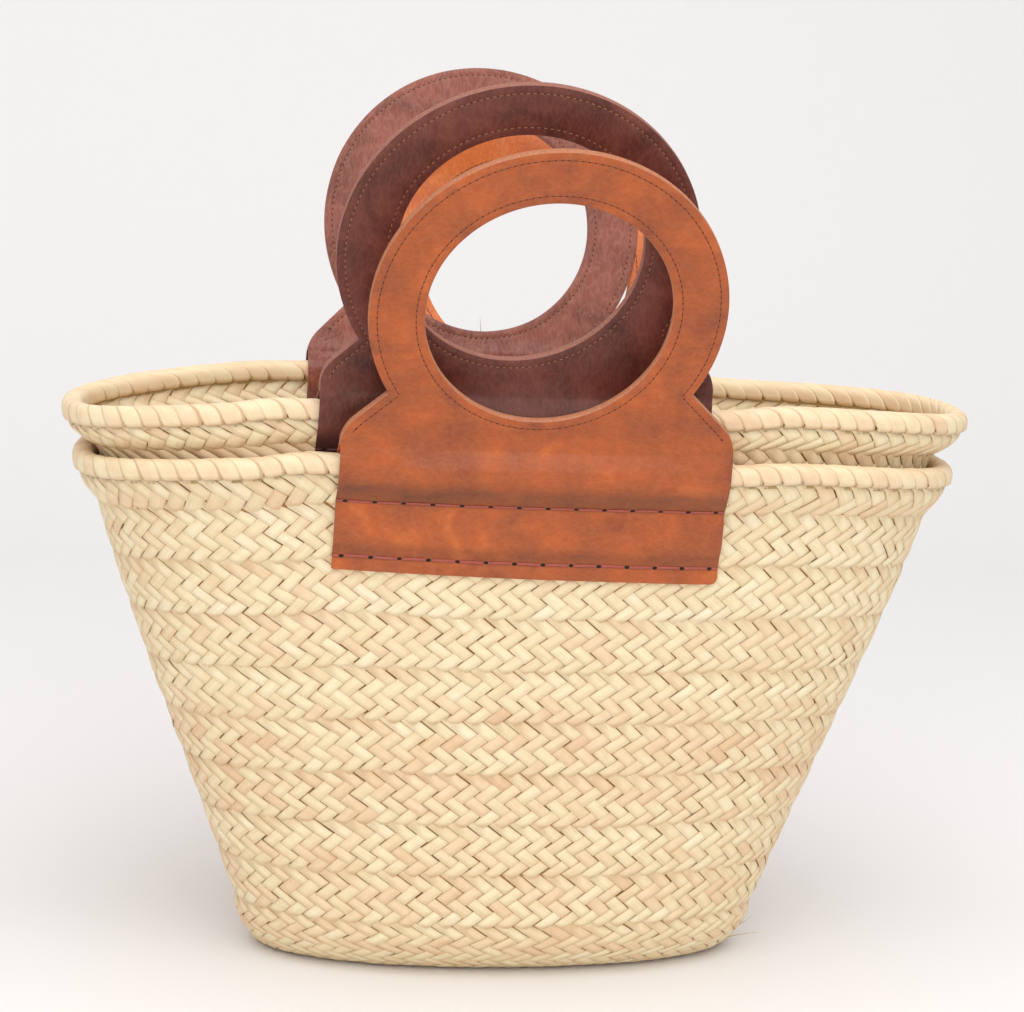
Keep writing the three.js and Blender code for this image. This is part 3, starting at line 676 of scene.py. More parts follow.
def windEdge(name, basket, table, seed):
    # each turn is a strip of leaf over a rounded arch, high at one border and low at the other,
    # where the next turn lies on it; it leans along the edge as it comes down outside
    chance = np.random.default_rng(seed)
    size, spread, count = winding, winding["spread"], winding["turns"]
    a = np.array(size["stations"])[:, None]
    b = np.linspace(0, 1, size["across"])[None, :]
    arch = np.clip((b - size["leg"]) / (1 - 2 * size["leg"]), 0, 1) * math.pi
    out = size["halfWidth"] * signedPower(np.cos(arch), 2 / size["roundness"])
    up = size["waist"] + size["halfHeight"] * np.sin(arch) ** (2 / size["roundness"])
    outerLeg, innerLeg = (np.clip((size["leg"] - c) / size["leg"], 0, 1) for c in (b, 1 - b))
    out = out - (size["halfWidth"] - size["footHalfWidth"]) * (outerLeg - innerLeg)
    out = out - size["tuckIn"] * (smooth((outerLeg - 0.75) * 4) - smooth((innerLeg - 0.75) * 4))
    up = up - (size["skirt"] + size["waist"]) * (outerLeg + innerLeg)
    slope = np.gradient(np.stack([out, up], -1), axis=1)
    normal = unit(np.stack([slope[..., 1], -slope[..., 0]], -1))
    slant = size["lean"] * (0.5 + 0.5 * np.cos(b * math.pi)) ** size["leanPower"]
    slant = slant - size["leanInside"] * smooth((b - 0.4) / 0.6)
    lean = slant * (1 + draws(chance, spread["lean"], count))
    stretch = size["overlap"] * (1 + draws(chance, spread["stretch"], count))
    narrow = 1 - size["legNarrower"] * (outerLeg + innerLeg)
    part = (np.arange(count)[:, None, None] + 0.5 + (a - 0.5) * stretch * narrow + lean
            + draws(chance, spread["place"], count)) / count
    high = size["lift"] * (1 - a) * (1 + draws(chance, spread["lift"], count))
    high = high + size["swell"] * np.sin(np.pi * np.clip(a, 0, 1))
    high = np.where((a < -0.01) | (a > 1.01), high - size["border"], high)
    high = high - size["sink"] + draws(chance, spread["sink"], count)
    point, outward = onRim(table, part)
    points = point + outward * (out + normal[..., 0] * high)[..., None]
    points[..., 2] += up + normal[..., 1] * high
    tone = np.clip(size["tone"] + chance.normal(0, spread["tone"], count), 0.08, 0.95)
    covered = smooth((a - size["shadeFrom"]) / 0.07)
    legs = smooth((outerLeg + innerLeg - 0.6) / 0.4)
    dark = np.clip(size["shade"][0] * covered + size["shade"][1] * legs + 0 * part, 0, 1)
    leaf = np.stack(np.broadcast_arrays(b * size["leaf"][0], a * size["leaf"][1]), -1)
    uv = leaf + chance.uniform(0, patternRoom, (count, 1, 1, 2))
    faces = repeatFaces(gridQuads(a.size, b.size), count, a.size * b.size)
    return makePiece(name, points, [faces], [palmWinding], uv=uv.reshape(-1, 2), values={
        "leafTone": np.repeat(tone, a.size * b.size), "leafTucked": dark})


rims = {name: rimTable(basket) for name, basket in baskets.items()}
for basketName, basket in baskets.items():
    piece = windEdge(basketName + "_edge_winding", basket, rims[basketName], 31 + basket["foot"])
    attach(piece, basketName + "_basket")
    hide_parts(basketName + "_rim_binding")
    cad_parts[basketName + "_rim_core"].data.materials.clear()
    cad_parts[basketName + "_rim_core"].data.materials.append(plain["leaf_stalks"])
print("edges wound")


def softenedPath(controls, samples, softness):
    # points at equal steps along a chain of controls, rounded by a bell-shaped average
    chords = np.linalg.norm(np.diff(controls, axis=0), axis=-1).mean(1)
    lengths = np.concatenate([[0], np.cumsum(chords)])
    places = np.linspace(0, lengths[-1], samples)
    weights = np.zeros((samples, len(controls)))
    offsets = np.linspace(-2, 2, 9)
    shares = bell(offsets) / bell(offsets).sum()
    reach = np.minimum(softness, np.minimum(places, lengths[-1] - places) / 2)
    for offset, share in zip(offsets, shares):
        for k, one in enumerate(np.eye(len(controls))):
            weights[:, k] += share * np.interp(places + offset * reach, lengths, one)
    return np.tensordot(weights, controls, 1), places


fibres = {
    # body, radius at the root, material, and each strand's middle line in the frame
    "outer_loose_fibres": ("outer_basket", 0.3, plain["leaf_stalks"], [
        [(135.0, -15, 8.1), (141.7, -15, 11.8), (148.1, -15, 15.5), (153.9, -15, 20.4)],
        [(135.4, -15, 5.6), (143.2, -15, 7.4), (151.0, -15, 8.6), (158.3, -15, 9.2)],
    ]),
    "inner_back_thread_end": ("inner_back_handle", 0.2, plain["brown_machine_thread"], [
        [(-7.6, 105.1, 346.0), (-7.9, 106.5, 351.2), (-8.3, 107.9, 356.3)],
    ]),
}


def looseFibres(name, radius, material, lines):
    # thin round strands that taper to a quarter: five-sided tubes along smoothed chains of points
    blocks, groups = [], []
    for k, line in enumerate(lines):
        path = softenedPath(np.array(line, float)[:, None], 14, 4.0)[0][:, 0]
        forward = unit(np.gradient(path, axis=0))
        first = unit(np.cross(forward, (0.3, 1.0, 0.2)))
        girth = radius * np.linspace(1, 0.25, len(path))[:, None, None]
        tube = path[:, None] + girth * ellipses(first, np.cross(forward, first), 5, 1, 1)
        tube[[0, -1]] = path[[0, -1], None]
        groups.append(gridQuads(len(path), 5, wrapColumns=True, start=k * len(path) * 5))
        blocks.append(tube.reshape(-1, 3))
    piece = makePiece(name, np.concatenate(blocks), groups, [material])
    weld(piece, 0.001)
    return piece


sewing = {
    "inset": 4.2, "pitch": 3.4, "seamEnd": 11.5,     # machine stitches round the ring
    "machine": {"hole": (0.72, 0.6), "sink": 0.05, "dome": 0.04, "length": 2.3, "radius": 0.26},
    "rows": ((20, 20), (49, 49)), "hem": (58, 58),   # below the edge's middle, left and right end
    "holes": 14, "firstHole": 5.0,
    "hand": {"hole": (1.45, 1.05), "sink": 0.12, "dome": 0.08},
    "thread": {"size": (0.75, 0.42), "rise": 0.3, "dip": 1.1, "dipReach": 1.5, "droop": 0.35,
               "wander": 0.25, "end": 0.6, "steps": 16},
    "arch": {   # over the winding: out from and up from the edge's middle, inside and outside
        False: ((6.2, 7.6), (7.6, 5.0), (8.2, 1.4), (8.0, -2.6), (7.0, -6.4), (6.0, -10.0),
                (5.6, -14.5)),
        True: ((6.2, 7.6), (7.6, 5.0), (8.2, 1.4), (8.0, -1.6), (7.0, -4.8), (5.3, -8.0),
               (3.1, -11.4), (0.6, -15.0)),
    },
    "below": (18.5, 24.0, 28.0, 34.0, 40.0, 45.0, 49.0, 53.0, 58.0),
    "hemCorners": (3.5, 3.5), "endSteps": (0.5, 1.2, 2.1, 3.4),   # radii, columns by the ends
}
holeStep = 2 * (handle["halfWidth"] - sewing["firstHole"]) / (sewing["holes"] - 1)
counts = {"bottom": 64, "side": 4, "corner": 8, "slope": 10, "ring": 140, "ruled": 11, "flap": 80}
cutHeight = 3.0   # the flap's own grid begins this far above the fold
skinFace = handle["board"] / 2 + handle["glue"] + handle["skin"]   # from the board's middle
skinMiddle = skinFace - handle["skin"] / 2
skinForm = {
    # steps inwards from an edge, unevenness and its length, worn edge and seam: depth and reach
    "near": (0, 0.5, 1.3, 2.6, 3.5, 4.2, 4.9, 5.8, 6.8), "wave": (0.14, 42), "worn": (0.4, 0.9),
    "seam": (0.24, 0.8), "meet": 1.3, "meetFrom": 12, "softness": 3.4, "wornRadius": 0.22,
    # the flap's ripples, the pull of its stitches, its bulge between the rows, its lifted hem, and
    # the reach and share of the painted shade above each row
    "ripple": (0.35, 60), "crest": (0.5, 45), "pull": (0.3, 0.45, 2.6, 3.0),
    "bulge": (1.9, 0.4, 50), "hemLift": 0.5, "paintedShade": ((16, 0.9), (11, 0.6)),
}


def ringMiddle(held):
    # the ring's middle, across and up from the fold
    return np.array([held["aside"], held["height"]])


def holeMiddle(held):
    # the hole's middle, which can lie higher
    return ringMiddle(held) + (0, held["holeUp"])


def flapSize(held, outer, key):
    # a size of the sewn flap: the handle's own outside, where it has one, else the usual one
    return held.get(key, sewing[key]) if outer else sewing[key]


def between(pair, across):
    # from a left value to a right one over the handle's width
    return pair[0] + (pair[1] - pair[0]) * (across / handle["halfWidth"] + 1) / 2


def arc(centre, radius, start, end, count, closed=True):
    # points on a circle from one angle to another
    angles = np.linspace(start, end, count, endpoint=closed)
    return np.stack([centre[0] + radius * np.cos(angles), centre[1] + radius * np.sin(angles)], -1)


def shoulder(basket, held, way, inset, base):
    # one side of the foot: straight side, round corner, then a straight slope that meets the
    # ring's circle in the notch; all of it an inset inside the true outline
    slope = handle["shoulderSlope"]
    radius = handle["shoulderRadius"] - inset
    middle = handle["halfWidth"] - handle["shoulderRadius"]
    low = held["sideHeight"]
    start, begin = (math.asin(max(0, foot - low) / radius) for foot in (base, base + 0.6))
    side = np.stack([np.full(counts["side"], middle + radius * math.cos(start)),
                     np.linspace(base, max(low, base + 0.6), counts["side"], endpoint=False)], -1)
    corner = arc((middle, low), radius, begin, math.pi / 2 - slope, counts["corner"], closed=False)
    end = np.array([middle + radius * math.sin(slope), low + radius * math.cos(slope)])
    upward = np.array([-math.cos(slope), math.sin(slope)])
    centre = ringMiddle(held) * (way, 1)
    along = (end - centre) @ upward
    reach = -along - math.sqrt(along ** 2 - (end - centre) @ (end - centre)
                               + (basket["ringRadius"] - inset) ** 2)
    notch = end + upward * reach
    rise = end + (notch - end) * np.linspace(0, 1, counts["slope"], endpoint=False)[:, None]
    line = np.concatenate([side, corner, rise]) * (way, 1)
    return line, math.atan2(notch[1] - centre[1], notch[0] - centre[0])


def halfWidthAt(held, up):
    # half the foot's width at a height above the fold: the round corner's chord
    radius, rise = handle["shoulderRadius"], max(0, up - held["sideHeight"])
    return handle["halfWidth"] - radius + math.sqrt(radius ** 2 - rise ** 2)


def outline(basket, held, inset, base):
    # the handle's outline, inset by a distance: bottom from left to right, right side and
    # shoulder, ring, left shoulder and side
    right, first = shoulder(basket, held, 1, inset, base)
    left, last = shoulder(basket, held, -1, inset, base)
    ring = arc(ringMiddle(held), basket["ringRadius"] - inset, first, math.pi - last,
               counts["ring"] + 1)
    ends = np.array(sewing["endSteps"])
    span = np.linspace(left[0, 0] + ends[-1], right[0, 0] - ends[-1],
                       counts["bottom"] - 2 * len(ends) + 2)
    across = np.concatenate([left[0, 0] + ends, span[1:-1], right[0, 0] - ends[::-1]])
    bottom = np.stack([across, np.full(counts["bottom"], base)], -1)
    return np.concatenate([bottom, right, ring, left[::-1]])


def foldPoint(basket, side):
    # the fold line's middle, above the middle of the wall's edge
    held = basket["handles"][side]
    edge = sum(wallPoint(basket, facing[side] * math.pi / 2, 1.0, inset)
               for inset in (0, wall["thickness"])) / 2
    return np.array([held["across"], edge[1],
                     heldHeight(basket, side, held["across"]) + handle["foldAboveRim"]])


def placeHandle(basket, side, points):
    # [across, outward, up] from the fold line to the frame: leaned outwards, rolled, set in place
    held = basket["handles"][side]
    lean, roll = math.radians(held["lean"]), math.radians(held["roll"])
    across, outward, up = np.moveaxis(np.asarray(points, float), -1, 0)
    out = outward * math.cos(lean) + up * math.sin(lean)
    high = up * math.cos(lean) - outward * math.sin(lean)
    x = across * math.cos(roll) + high * math.sin(roll)
    z = high * math.cos(roll) - across * math.sin(roll)
    fold = foldPoint(basket, side)
    return np.stack([fold[0] + x, fold[1] + facing[side] * out, fold[2] + z], -1)


def onHandle(basket, side, flat, outward):
    # a flat drawing of the handle, set in the frame at a distance outward from the board's middle
    outward = outward + 0 * flat[..., 0]
    return placeHandle(basket, side, np.stack([flat[..., 0], outward, flat[..., 1]], -1))


def edgeAt(table, side, x):
    # distance from the middle plane and height of the edge's centre line at each x
    half = table[0][table[0][:, 1] * facing[side] > 0]
    half = half[np.argsort(half[:, 0])]
    return np.interp(x, half[:, 0], np.abs(half[:, 1])), np.interp(x, half[:, 0], half[:, 2])


def wallAt(basket, x, z, edgeZ, inset):
    # distance of the wall's face from the middle plane at x and z: the superellipse solved for y
    top = edgeZ - wall["wallDrop"] - basket["foot"]
    height = z - basket["foot"]
    length, depth, roundness = wallSizes(basket, height, (height - inset) / (top - inset), inset)
    return depth * (1 - np.abs(x / length) ** roundness) ** (1 / roundness)


def flapControls(basket, side, outer, across, table):
    # the leather's middle line from the handle down: over the winding, in at the upper row of
    # stitches and flat to the hem; outward is measured on the flap's own side
    sign = 1 if outer else -1
    held = basket["handles"][side]
    fold = foldPoint(basket, side)
    across = across / halfWidthAt(held, cutHeight)
    x = held["across"] + across * handle["halfWidth"]
    foldZ = heldHeight(basket, side, x) + handle["foldAboveRim"]
    edgeY, edgeZ = edgeAt(table, side, x)
    lines = []
    for up, off in ((cutHeight, skinForm["meet"]), (cutHeight - 0.3, 1.39), (0.8, 2.1)):
        flat = np.stack([across * halfWidthAt(held, up), np.full_like(across, up)], -1)
        lines.append(onHandle(basket, side, flat, sign * (skinMiddle + off)))
    foldOut = sign * abs(fold[1])

    def add(outward, z):
        # one more line across the flap, at a distance out and a height
        lines.append(np.stack([x, facing[side] * sign * (outward + 0 * x), z], -1))

    add(foldOut + 4.6, foldZ - 2.2)
    for outward, up in sewing["arch"][outer]:
        slack = foldOut + 4.5 - 0.02 * (8 - up) ** 2
        add(np.maximum(sign * edgeY + outward, slack), edgeZ + up)
    inset = 0 if outer else wall["thickness"]
    off = handle["glue"] + handle["skin"] / 2 + (0 if outer else 0.2)
    hem = between(flapSize(held, outer, "hem"), across * handle["halfWidth"])
    corner = np.where(across < 0, *flapSize(held, outer, "hemCorners"))
    turn = np.clip((np.abs(across) - 1) * handle["halfWidth"] / corner + 1, 0, 1)
    last = sewing["below"][-1]
    for below in sewing["below"]:
        low = below * hem / last - (below == last) * corner * (1 - np.sqrt(1 - turn ** 2))
        add(sign * wallAt(basket, x, edgeZ - low, edgeZ, inset) + off, edgeZ - low)
    return np.stack(lines)


def edgeDistance(basket, held, flat):
    # distance inwards from the sewn outline: from the ring's circle, or from the shoulder's
    # corner and slope, whichever part of the shape a point belongs to
    slope, radius = handle["shoulderSlope"], handle["shoulderRadius"]
    ring = basket["ringRadius"] - np.linalg.norm(flat - ringMiddle(held), axis=-1)
    out = np.abs(flat[..., 0]) - (handle["halfWidth"] - radius)
    up = flat[..., 1] - held["sideHeight"]
    sloped = radius - out * math.sin(slope) - up * math.cos(slope)
    foot = np.where(np.arctan2(up, out) > math.pi / 2 - slope, sloped, radius - np.hypot(out, up))
    return np.maximum(ring, np.where(up < 0, radius - out, foot))


def plateRelief(basket, held, flat, seed):
    # the leather's height over the board: worn down at its edges, pulled in by the seams, and
    # gently uneven; the outline's seam ends part way down the shoulders
    fromHole = np.linalg.norm(flat - holeMiddle(held), axis=-1) - handle["holeRadius"]
    fromEdge = edgeDistance(basket, held, flat)
    up = flat[..., 1]
    relief = skinForm["wave"][0] * ripple(flat[..., 0], up, skinForm["wave"][1], seed) * smooth(
        np.minimum(fromHole, fromEdge) / 7)
    for distance, sewn in ((fromHole, 1), (fromEdge, smooth((up - sewing["seamEnd"]) / 4))):
        for (depth, reach), at, here in ((skinForm["worn"], 0, 1),
                                         (skinForm["seam"], sewing["inset"], sewn)):
            relief = relief - depth * here * bell((distance - at) / reach)
    meetFrom = skinForm["meetFrom"]
    meet = skinForm["meet"] * np.clip((meetFrom - up) / (meetFrom - cutHeight), 0, 1) ** 2
    return relief * smooth((up - cutHeight) / 8) + meet


def flapSwell(held, outer, flap, places, below, across, seed):
    # how far the flap stands out of its smooth line: ripples, a pull at each row of stitches
    # that is strongest at the holes, a bulge between the rows and a hem that lifts
    x = flap[..., 0]
    (low, lowScale), (crest, crestScale) = skinForm["ripple"], skinForm["crest"]
    swell = low * ripple(x, places[:, None] * 2.2, lowScale, seed + 5)
    swell = swell + crest * bell((below + 1) / 6) * ripple(x, 0 * below, crestScale, seed + 6)
    phase = (across[None] + handle["halfWidth"] - sewing["firstHole"]) / holeStep
    pull, atHole, reach, holeReach = skinForm["pull"]
    depth = pull + atHole * bell((phase - np.round(phase)) * holeStep / holeReach)
    for row in flapSize(held, outer, "rows"):
        swell = swell - depth * bell((below - between(row, across)) / reach)
    bulge, uneven, scale = skinForm["bulge"]
    where = smooth((below - 20) / 8) * smooth((49 - below) / 11)
    swell = swell + bulge * where * (1 + uneven * ripple(x, below, scale, seed + 7))
    swell = swell + skinForm["hemLift"] * smooth((below - 51) / 7)
    return swell * smooth((below - 4) / 10)


def leatherSheet(name, basketName, side, outer, material, seed):
    # the ring is ruled from its hole to its outline; the flap's grid goes on from its lower border
    basket = baskets[basketName]
    sign = 1 if outer else -1
    held = basket["handles"][side]
    near = skinForm["near"]
    loops = np.stack([outline(basket, held, inset, cutHeight + 0.3 * inset) for inset in near])
    loop = loops[-1]
    # angles of the ruled lines at the hole: the ring's own, and the lower part's by its length
    lowerCount = counts["bottom"] + counts["side"] + counts["corner"] + counts["slope"]
    ringPart = slice(lowerCount, lowerCount + counts["ring"] + 1)
    angles = np.zeros(len(loop))
    ringAngles = np.arctan2(*(loop[ringPart] - ringMiddle(held)).T[::-1])
    angles[ringPart] = np.where(ringAngles < -math.pi / 2, ringAngles + tau, ringAngles)
    lower = np.concatenate([np.arange(ringPart.stop - 1, len(loop)), np.arange(0, lowerCount + 1)])
    lengths = lengthsAlong(loop[lower])
    first, last = angles[ringPart.stop - 1], angles[ringPart.start] + tau
    angles[lower[1:-1]] = (first + (last - first) * lengths / lengths[-1])[1:-1]
    radii = handle["holeRadius"] + np.array(near)[:, None, None]
    holes = holeMiddle(held) + radii * np.stack([np.cos(angles), np.sin(angles)], -1)
    shares = np.linspace(0, 1, counts["ruled"])[1:-1, None, None]
    flat = np.concatenate([holes, holes[-1] + (loop - holes[-1]) * shares, loops[::-1]])
    height = skinMiddle + plateRelief(basket, held, flat, seed)
    plate = onHandle(basket, side, flat, sign * height)
    rows, columns = plate.shape[:2]
    border = np.append(-1, np.arange(counts["bottom"] + 1))
    across = loops[0][border, 0]
    controls = flapControls(basket, side, outer, across, rims[basketName])
    flap, places = softenedPath(controls, counts["flap"], skinForm["softness"])
    below = edgeAt(rims[basketName], side, flap[..., 0])[1] - flap[..., 2]
    swell = flapSwell(held, outer, flap, places, below, across, seed)
    flap[..., 1] += facing[side] * sign * swell
    # painted shade: darker above each row of stitches, where the flap turns downwards under the
    # fold
    paintedShade = 0
    for row, (reach, share) in zip(flapSize(held, outer, "rows"), skinForm["paintedShade"]):
        fromRow = below - between(row, across)
        paintedShade = paintedShade + share * (smooth((fromRow + reach) / (0.6 * reach))
                                     * smooth((1.8 - fromRow) / 1.4))
    firstRow = (rows - 1) * columns + border % columns
    flapPoints = flap[1:].reshape(-1, 3)
    rest = rows * columns + np.arange(len(flapPoints)).reshape(-1, len(across))
    index = np.concatenate([firstRow[None], rest])
    plateQuads = gridQuads(rows, columns, wrapColumns=True)
    flapQuads = np.stack([index[:-1, :-1], index[1:, :-1], index[1:, 1:], index[:-1, 1:]], -1)
    flapQuads = flapQuads.reshape(-1, 4)
    if facing[side] * sign > 0:
        flapQuads = flapQuads[:, ::-1]
    else:
        plateQuads = plateQuads[:, ::-1]
    down = np.broadcast_arrays(flap[1:, :, 0] - held["across"], cutHeight - places[1:, None])
    uv = np.concatenate([flat.reshape(-1, 2), np.stack(down, -1).reshape(-1, 2)])
    uv = uv + np.random.default_rng(seed).uniform(0, 800, 2)
    points = np.concatenate([plate.reshape(-1, 3), flapPoints])
    shade = np.concatenate([np.zeros(rows * columns), paintedShade[1:].ravel()])
    piece = makePiece(name, points, [plateQuads, flapQuads], [material, edgeOf[basketName]], uv=uv,
                      values={"leatherPressed": shade})
    solid = piece.modifiers.new("thickness", "SOLIDIFY")
    solid.thickness = handle["skin"] * mm
    solid.offset = 0
    solid.material_offset_rim = 1
    worn = piece.modifiers.new("worn edges", "BEVEL")
    worn.width = skinForm["wornRadius"] * mm
    worn.segments = 2
    worn.limit_method = "ANGLE"
    worn.angle_limit = math.radians(50)
    worn.harden_normals = False
    return piece, flap


# how far the raw edge bulges round the open outline and round the hole, and how far it is sunk
edgeForm = {False: 0.42, True: 0.75, "sink": 0.12, "uneven": (0.08, 30), "inside": 0.5}


def rawEdge(name, basketName, side, seed):
    # a rounded band over the edges of leather, board and leather, round the outline and the
    # hole: it stands out by bulge * (1 - b^4) across its width
    basket = baskets[basketName]
    held = basket["handles"][side]
    half = skinFace - edgeForm["inside"]
    loop = outline(basket, held, 0, 1.0)[counts["bottom"]:]
    ring = arc(holeMiddle(held), handle["holeRadius"], 0, tau, 200, closed=False)
    b = np.linspace(-1, 1, 9)
    groups, blocks, start = [], [], 0
    for path, closed, way in ((loop, False, 1), (ring, True, -1)):
        along = np.roll(path, -1, 0) - np.roll(path, 1, 0) if closed else np.gradient(path, axis=0)
        out = unit(np.stack([along[:, 1], -along[:, 0]], -1)) * way
        height, scale = edgeForm["uneven"]
        wobble = height * ripple(path[:, 0], path[:, 1], scale, seed)[:, None]
        proud = edgeForm[closed] * (1 - b[None] ** 4) - edgeForm["sink"] + wobble
        flat = path[:, None] + out[:, None] * proud[..., None]
        blocks.append(onHandle(basket, side, flat, half * b[None]).reshape(-1, 3))
        quads = gridQuads(len(path), len(b), wrapRows=closed, start=start)
        groups.append(quads[:, ::-1] if (facing[side] < 0) == (way > 0) else quads)
        start += len(path) * len(b)
    return makePiece(name, np.concatenate(blocks), groups, [edgeOf[basketName]])


def needleHoles(points, forward, sideways, normals, count, lift, look):
    # painted shade of needle holes: flat dark cones of count sides on the surface, middles a little
    # higher
    ring = ellipses(forward, sideways, count, *look["hole"])
    normals = normals[:, None]
    cells = np.concatenate([points[:, None] + normals * (lift + look["sink"] + look["dome"]),
                            points[:, None] + ring + normals * (lift + look["sink"])], 1)
    fan = np.array([[0, 1 + k, 1 + (k + 1) % count] for k in range(count)])
    return cells.reshape(-1, 3), repeatFaces(fan, len(points), count + 1)


def machineSewing(name, basketName, side, outer, seed):
    # stitches at equal steps, inside the ring's outline and round its hole, on one face: a hole
    # and a short raised spindle of thread at each
    basket = baskets[basketName]
    sign = 1 if outer else -1
    look, inset, pitch = sewing["machine"], sewing["inset"], sewing["pitch"]
    held = basket["handles"][side]
    loop = outline(basket, held, inset, cutHeight)[counts["bottom"]:]
    openLine = loop[loop[:, 1] > sewing["seamEnd"]]
    openLine = evenChain(openLine, int(lengthsAlong(openLine)[-1] / pitch))
    radius = handle["holeRadius"] + inset
    ring = arc(holeMiddle(held), radius, 0, tau, int(tau * radius / pitch), closed=False)
    placed, ways = [], []
    for path, closed in ((openLine, False), (ring, True)):
        surface = skinFace + plateRelief(basket, held, path, seed)
        world = onHandle(basket, side, path, sign * surface)
        way = np.roll(world, -1, 0) - world
        if not closed:
            way[-1] = way[-2]
        placed.append(world)
        ways.append(unit(way))
    points, forward = np.concatenate(placed), np.concatenate(ways)
    base = placeHandle(basket, side, np.array([[0, 0, 0], [0, sign, 0]]))
    normals = np.broadcast_to(base[1] - base[0], points.shape)
    sideways = unit(np.cross(normals, forward))
    holes, holeFaces = needleHoles(points, forward, sideways, normals, 8, 0, look)
    stations = np.linspace(-1, 1, 5)
    girth = np.sqrt(1 - stations ** 2 * 0.96)[None, :, None, None]
    lengthwise = forward[:, None] * (stations * look["length"] / 2)[:, None]
    section = ellipses(sideways, normals, 6, look["radius"], look["radius"] * 0.7)
    tube = ((points + forward * pitch / 2)[:, None, None] + lengthwise[:, :, None]
            + section[:, None] * girth)
    tubeFaces = repeatFaces(gridQuads(5, 6, wrapColumns=True), len(points), 30) + len(holes)
    return makePiece(name, np.concatenate([holes, tube.reshape(-1, 3)]), [holeFaces, tubeFaces],
                     [plain["fine_needle_hole"], threadOf[basketName]], groupSlots=[0, 1])


def handSewing(name, basketName, side, outer, flap):
    # holes at equal steps along each row, and a waxed thread that dips at every hole
    held = baskets[basketName]["handles"][side]
    sign = 1 if outer else -1
    half, reach = handle["skin"] / 2, handle["halfWidth"]
    look = sewing["thread"]
    below = edgeAt(rims[basketName], side, flap[..., 0])[1] - flap[..., 2]
    groups, blocks, slots, start = [], [], [], 0
    for pair in flapSize(held, outer, "rows"):
        # the row's line on the flap: each column cut at the row's height
        row = between(pair, flap[-1, :, 0] - held["across"])
        lower = np.argmax(below > row, axis=0)
        k = np.arange(flap.shape[1])
        b0, b1 = below[lower - 1, k], below[lower, k]
        mix = ((row - b0) / (b1 - b0))[:, None]
        line = flap[lower - 1, k] * (1 - mix) + flap[lower, k] * mix
        sideways = unit(np.gradient(line, axis=0))
        normal = unit(np.cross(sideways, unit(flap[lower, k] - flap[lower - 1, k])))
        normal = normal * np.sign(normal[:, 1:2] * facing[side] * sign)
        across = line[:, 0] - held["across"]

        def at(s, what):
            # a table along the row, read at distances s across the handle
            return np.stack([np.interp(s, across, column) for column in what.T], -1)

        holesAt = -reach + sewing["firstHole"] + holeStep * np.arange(sewing["holes"])
        normals, ways = unit(at(holesAt, normal)), unit(at(holesAt, sideways))
        holes, fans = needleHoles(at(holesAt, line), ways, unit(np.cross(ways, normals)), normals,
                                  12, half, sewing["hand"])
        s = np.linspace(-reach + look["end"], reach - look["end"],
                        (sewing["holes"] + 1) * look["steps"] + 1)
        phase = (s - holesAt[0]) / holeStep
        dip = bell((phase - np.round(phase)) * holeStep / look["dipReach"], 4)
        rise = half + look["rise"] - look["dip"] * dip
        path, up = at(s, line), unit(at(s, normal))
        droop = (look["droop"] * np.sin(np.pi * (phase % 1.0))
                 + look["wander"] * ripple(s, 0 * s, 30, int(pair[0])))
        aside = unit(np.cross(up, unit(np.gradient(path, axis=0))))
        middle = path + aside * droop[:, None] + up * rise[:, None]
        tube = middle[:, None] + ellipses(aside, up, 8, *look["size"])
        blocks += [holes, tube.reshape(-1, 3)]
        groups += [fans + start,
                   gridQuads(len(s), 8, wrapColumns=True, start=start + len(holes))]
        slots += [0, 1]
        start += len(holes) + len(s) * 8
    return makePiece(name, np.concatenate(blocks), groups,
                     [plain["needle_hole"], waxedOf[basketName]], groupSlots=slots)


for name, (body, radius, material, lines) in fibres.items():
    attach(looseFibres(name, radius, material, lines), body)
for basketName, basket in baskets.items():
    for side in ("front", "back"):
        prefix = f"{basketName}_{side}"
        body, basketBody = prefix + "_handle", basketName + "_basket"
        seed = 100 + len(prefix) * 7 + (side == "back") * 31 + basket["foot"]
        for outer, kind, where, hem in ((True, "smooth", "face", "outside"),
                                        (False, "bent_with_painted_sheen", "back", "inside")):
            sheet, flap = leatherSheet(f"{prefix}_{where}_leather_sheet", basketName, side, outer,
                                       leatherOf[basketName, kind], seed + outer)
            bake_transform(sheet)
            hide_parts(f"{prefix}_{where}_leather", f"{prefix}_{hem}_flap")
            ringSewing = machineSewing(f"{prefix}_{where}_ring_stitches", basketName, side, outer,
                                       seed + outer)
            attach(ringSewing, body)
            rowSewing = handSewing(f"{prefix}_{hem}_flap_stitches", basketName, side, outer, flap)
            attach(rowSewing, basketBody)
        band = rawEdge(prefix + "_raw_edge", basketName, side, seed)
        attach(band, body)
        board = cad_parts[prefix + "_board"]
        board.data.materials.clear()
        board.data.materials.append(plain["pressed_fibre_board"])
    print(basketName, "handles sewn")


# the stage and the lights are in metres
stage = {"colour": "#ebe9e8", "halfWidth": 3.0, "floorReach": 2.2, "backdrop": 1.1, "curve": 0.7,
         "height": 2.6}
lights = {
    "overhead": {"place": (0.0, -0.9, 2.5), "aim": (0, 0, 0.2), "size": (3.2, 2.4), "power": 47},
    "front": {"place": (-0.5, -3.0, 1.5), "aim": (0, 0, 0.25), "size": (3.4, 2.2), "power": 33.5},
}
view = {
    # degrees, mm from the target, and the focal length in pixels of the picture's width
    "azimuth": -9.7075, "elevation": 10.457, "roll": 2.9238, "distance": 1732.6,
    "focal": 3024.4, "target": (-1.8602, -3.5773, 261.1), "width": 1024, "sensor": 36,
}


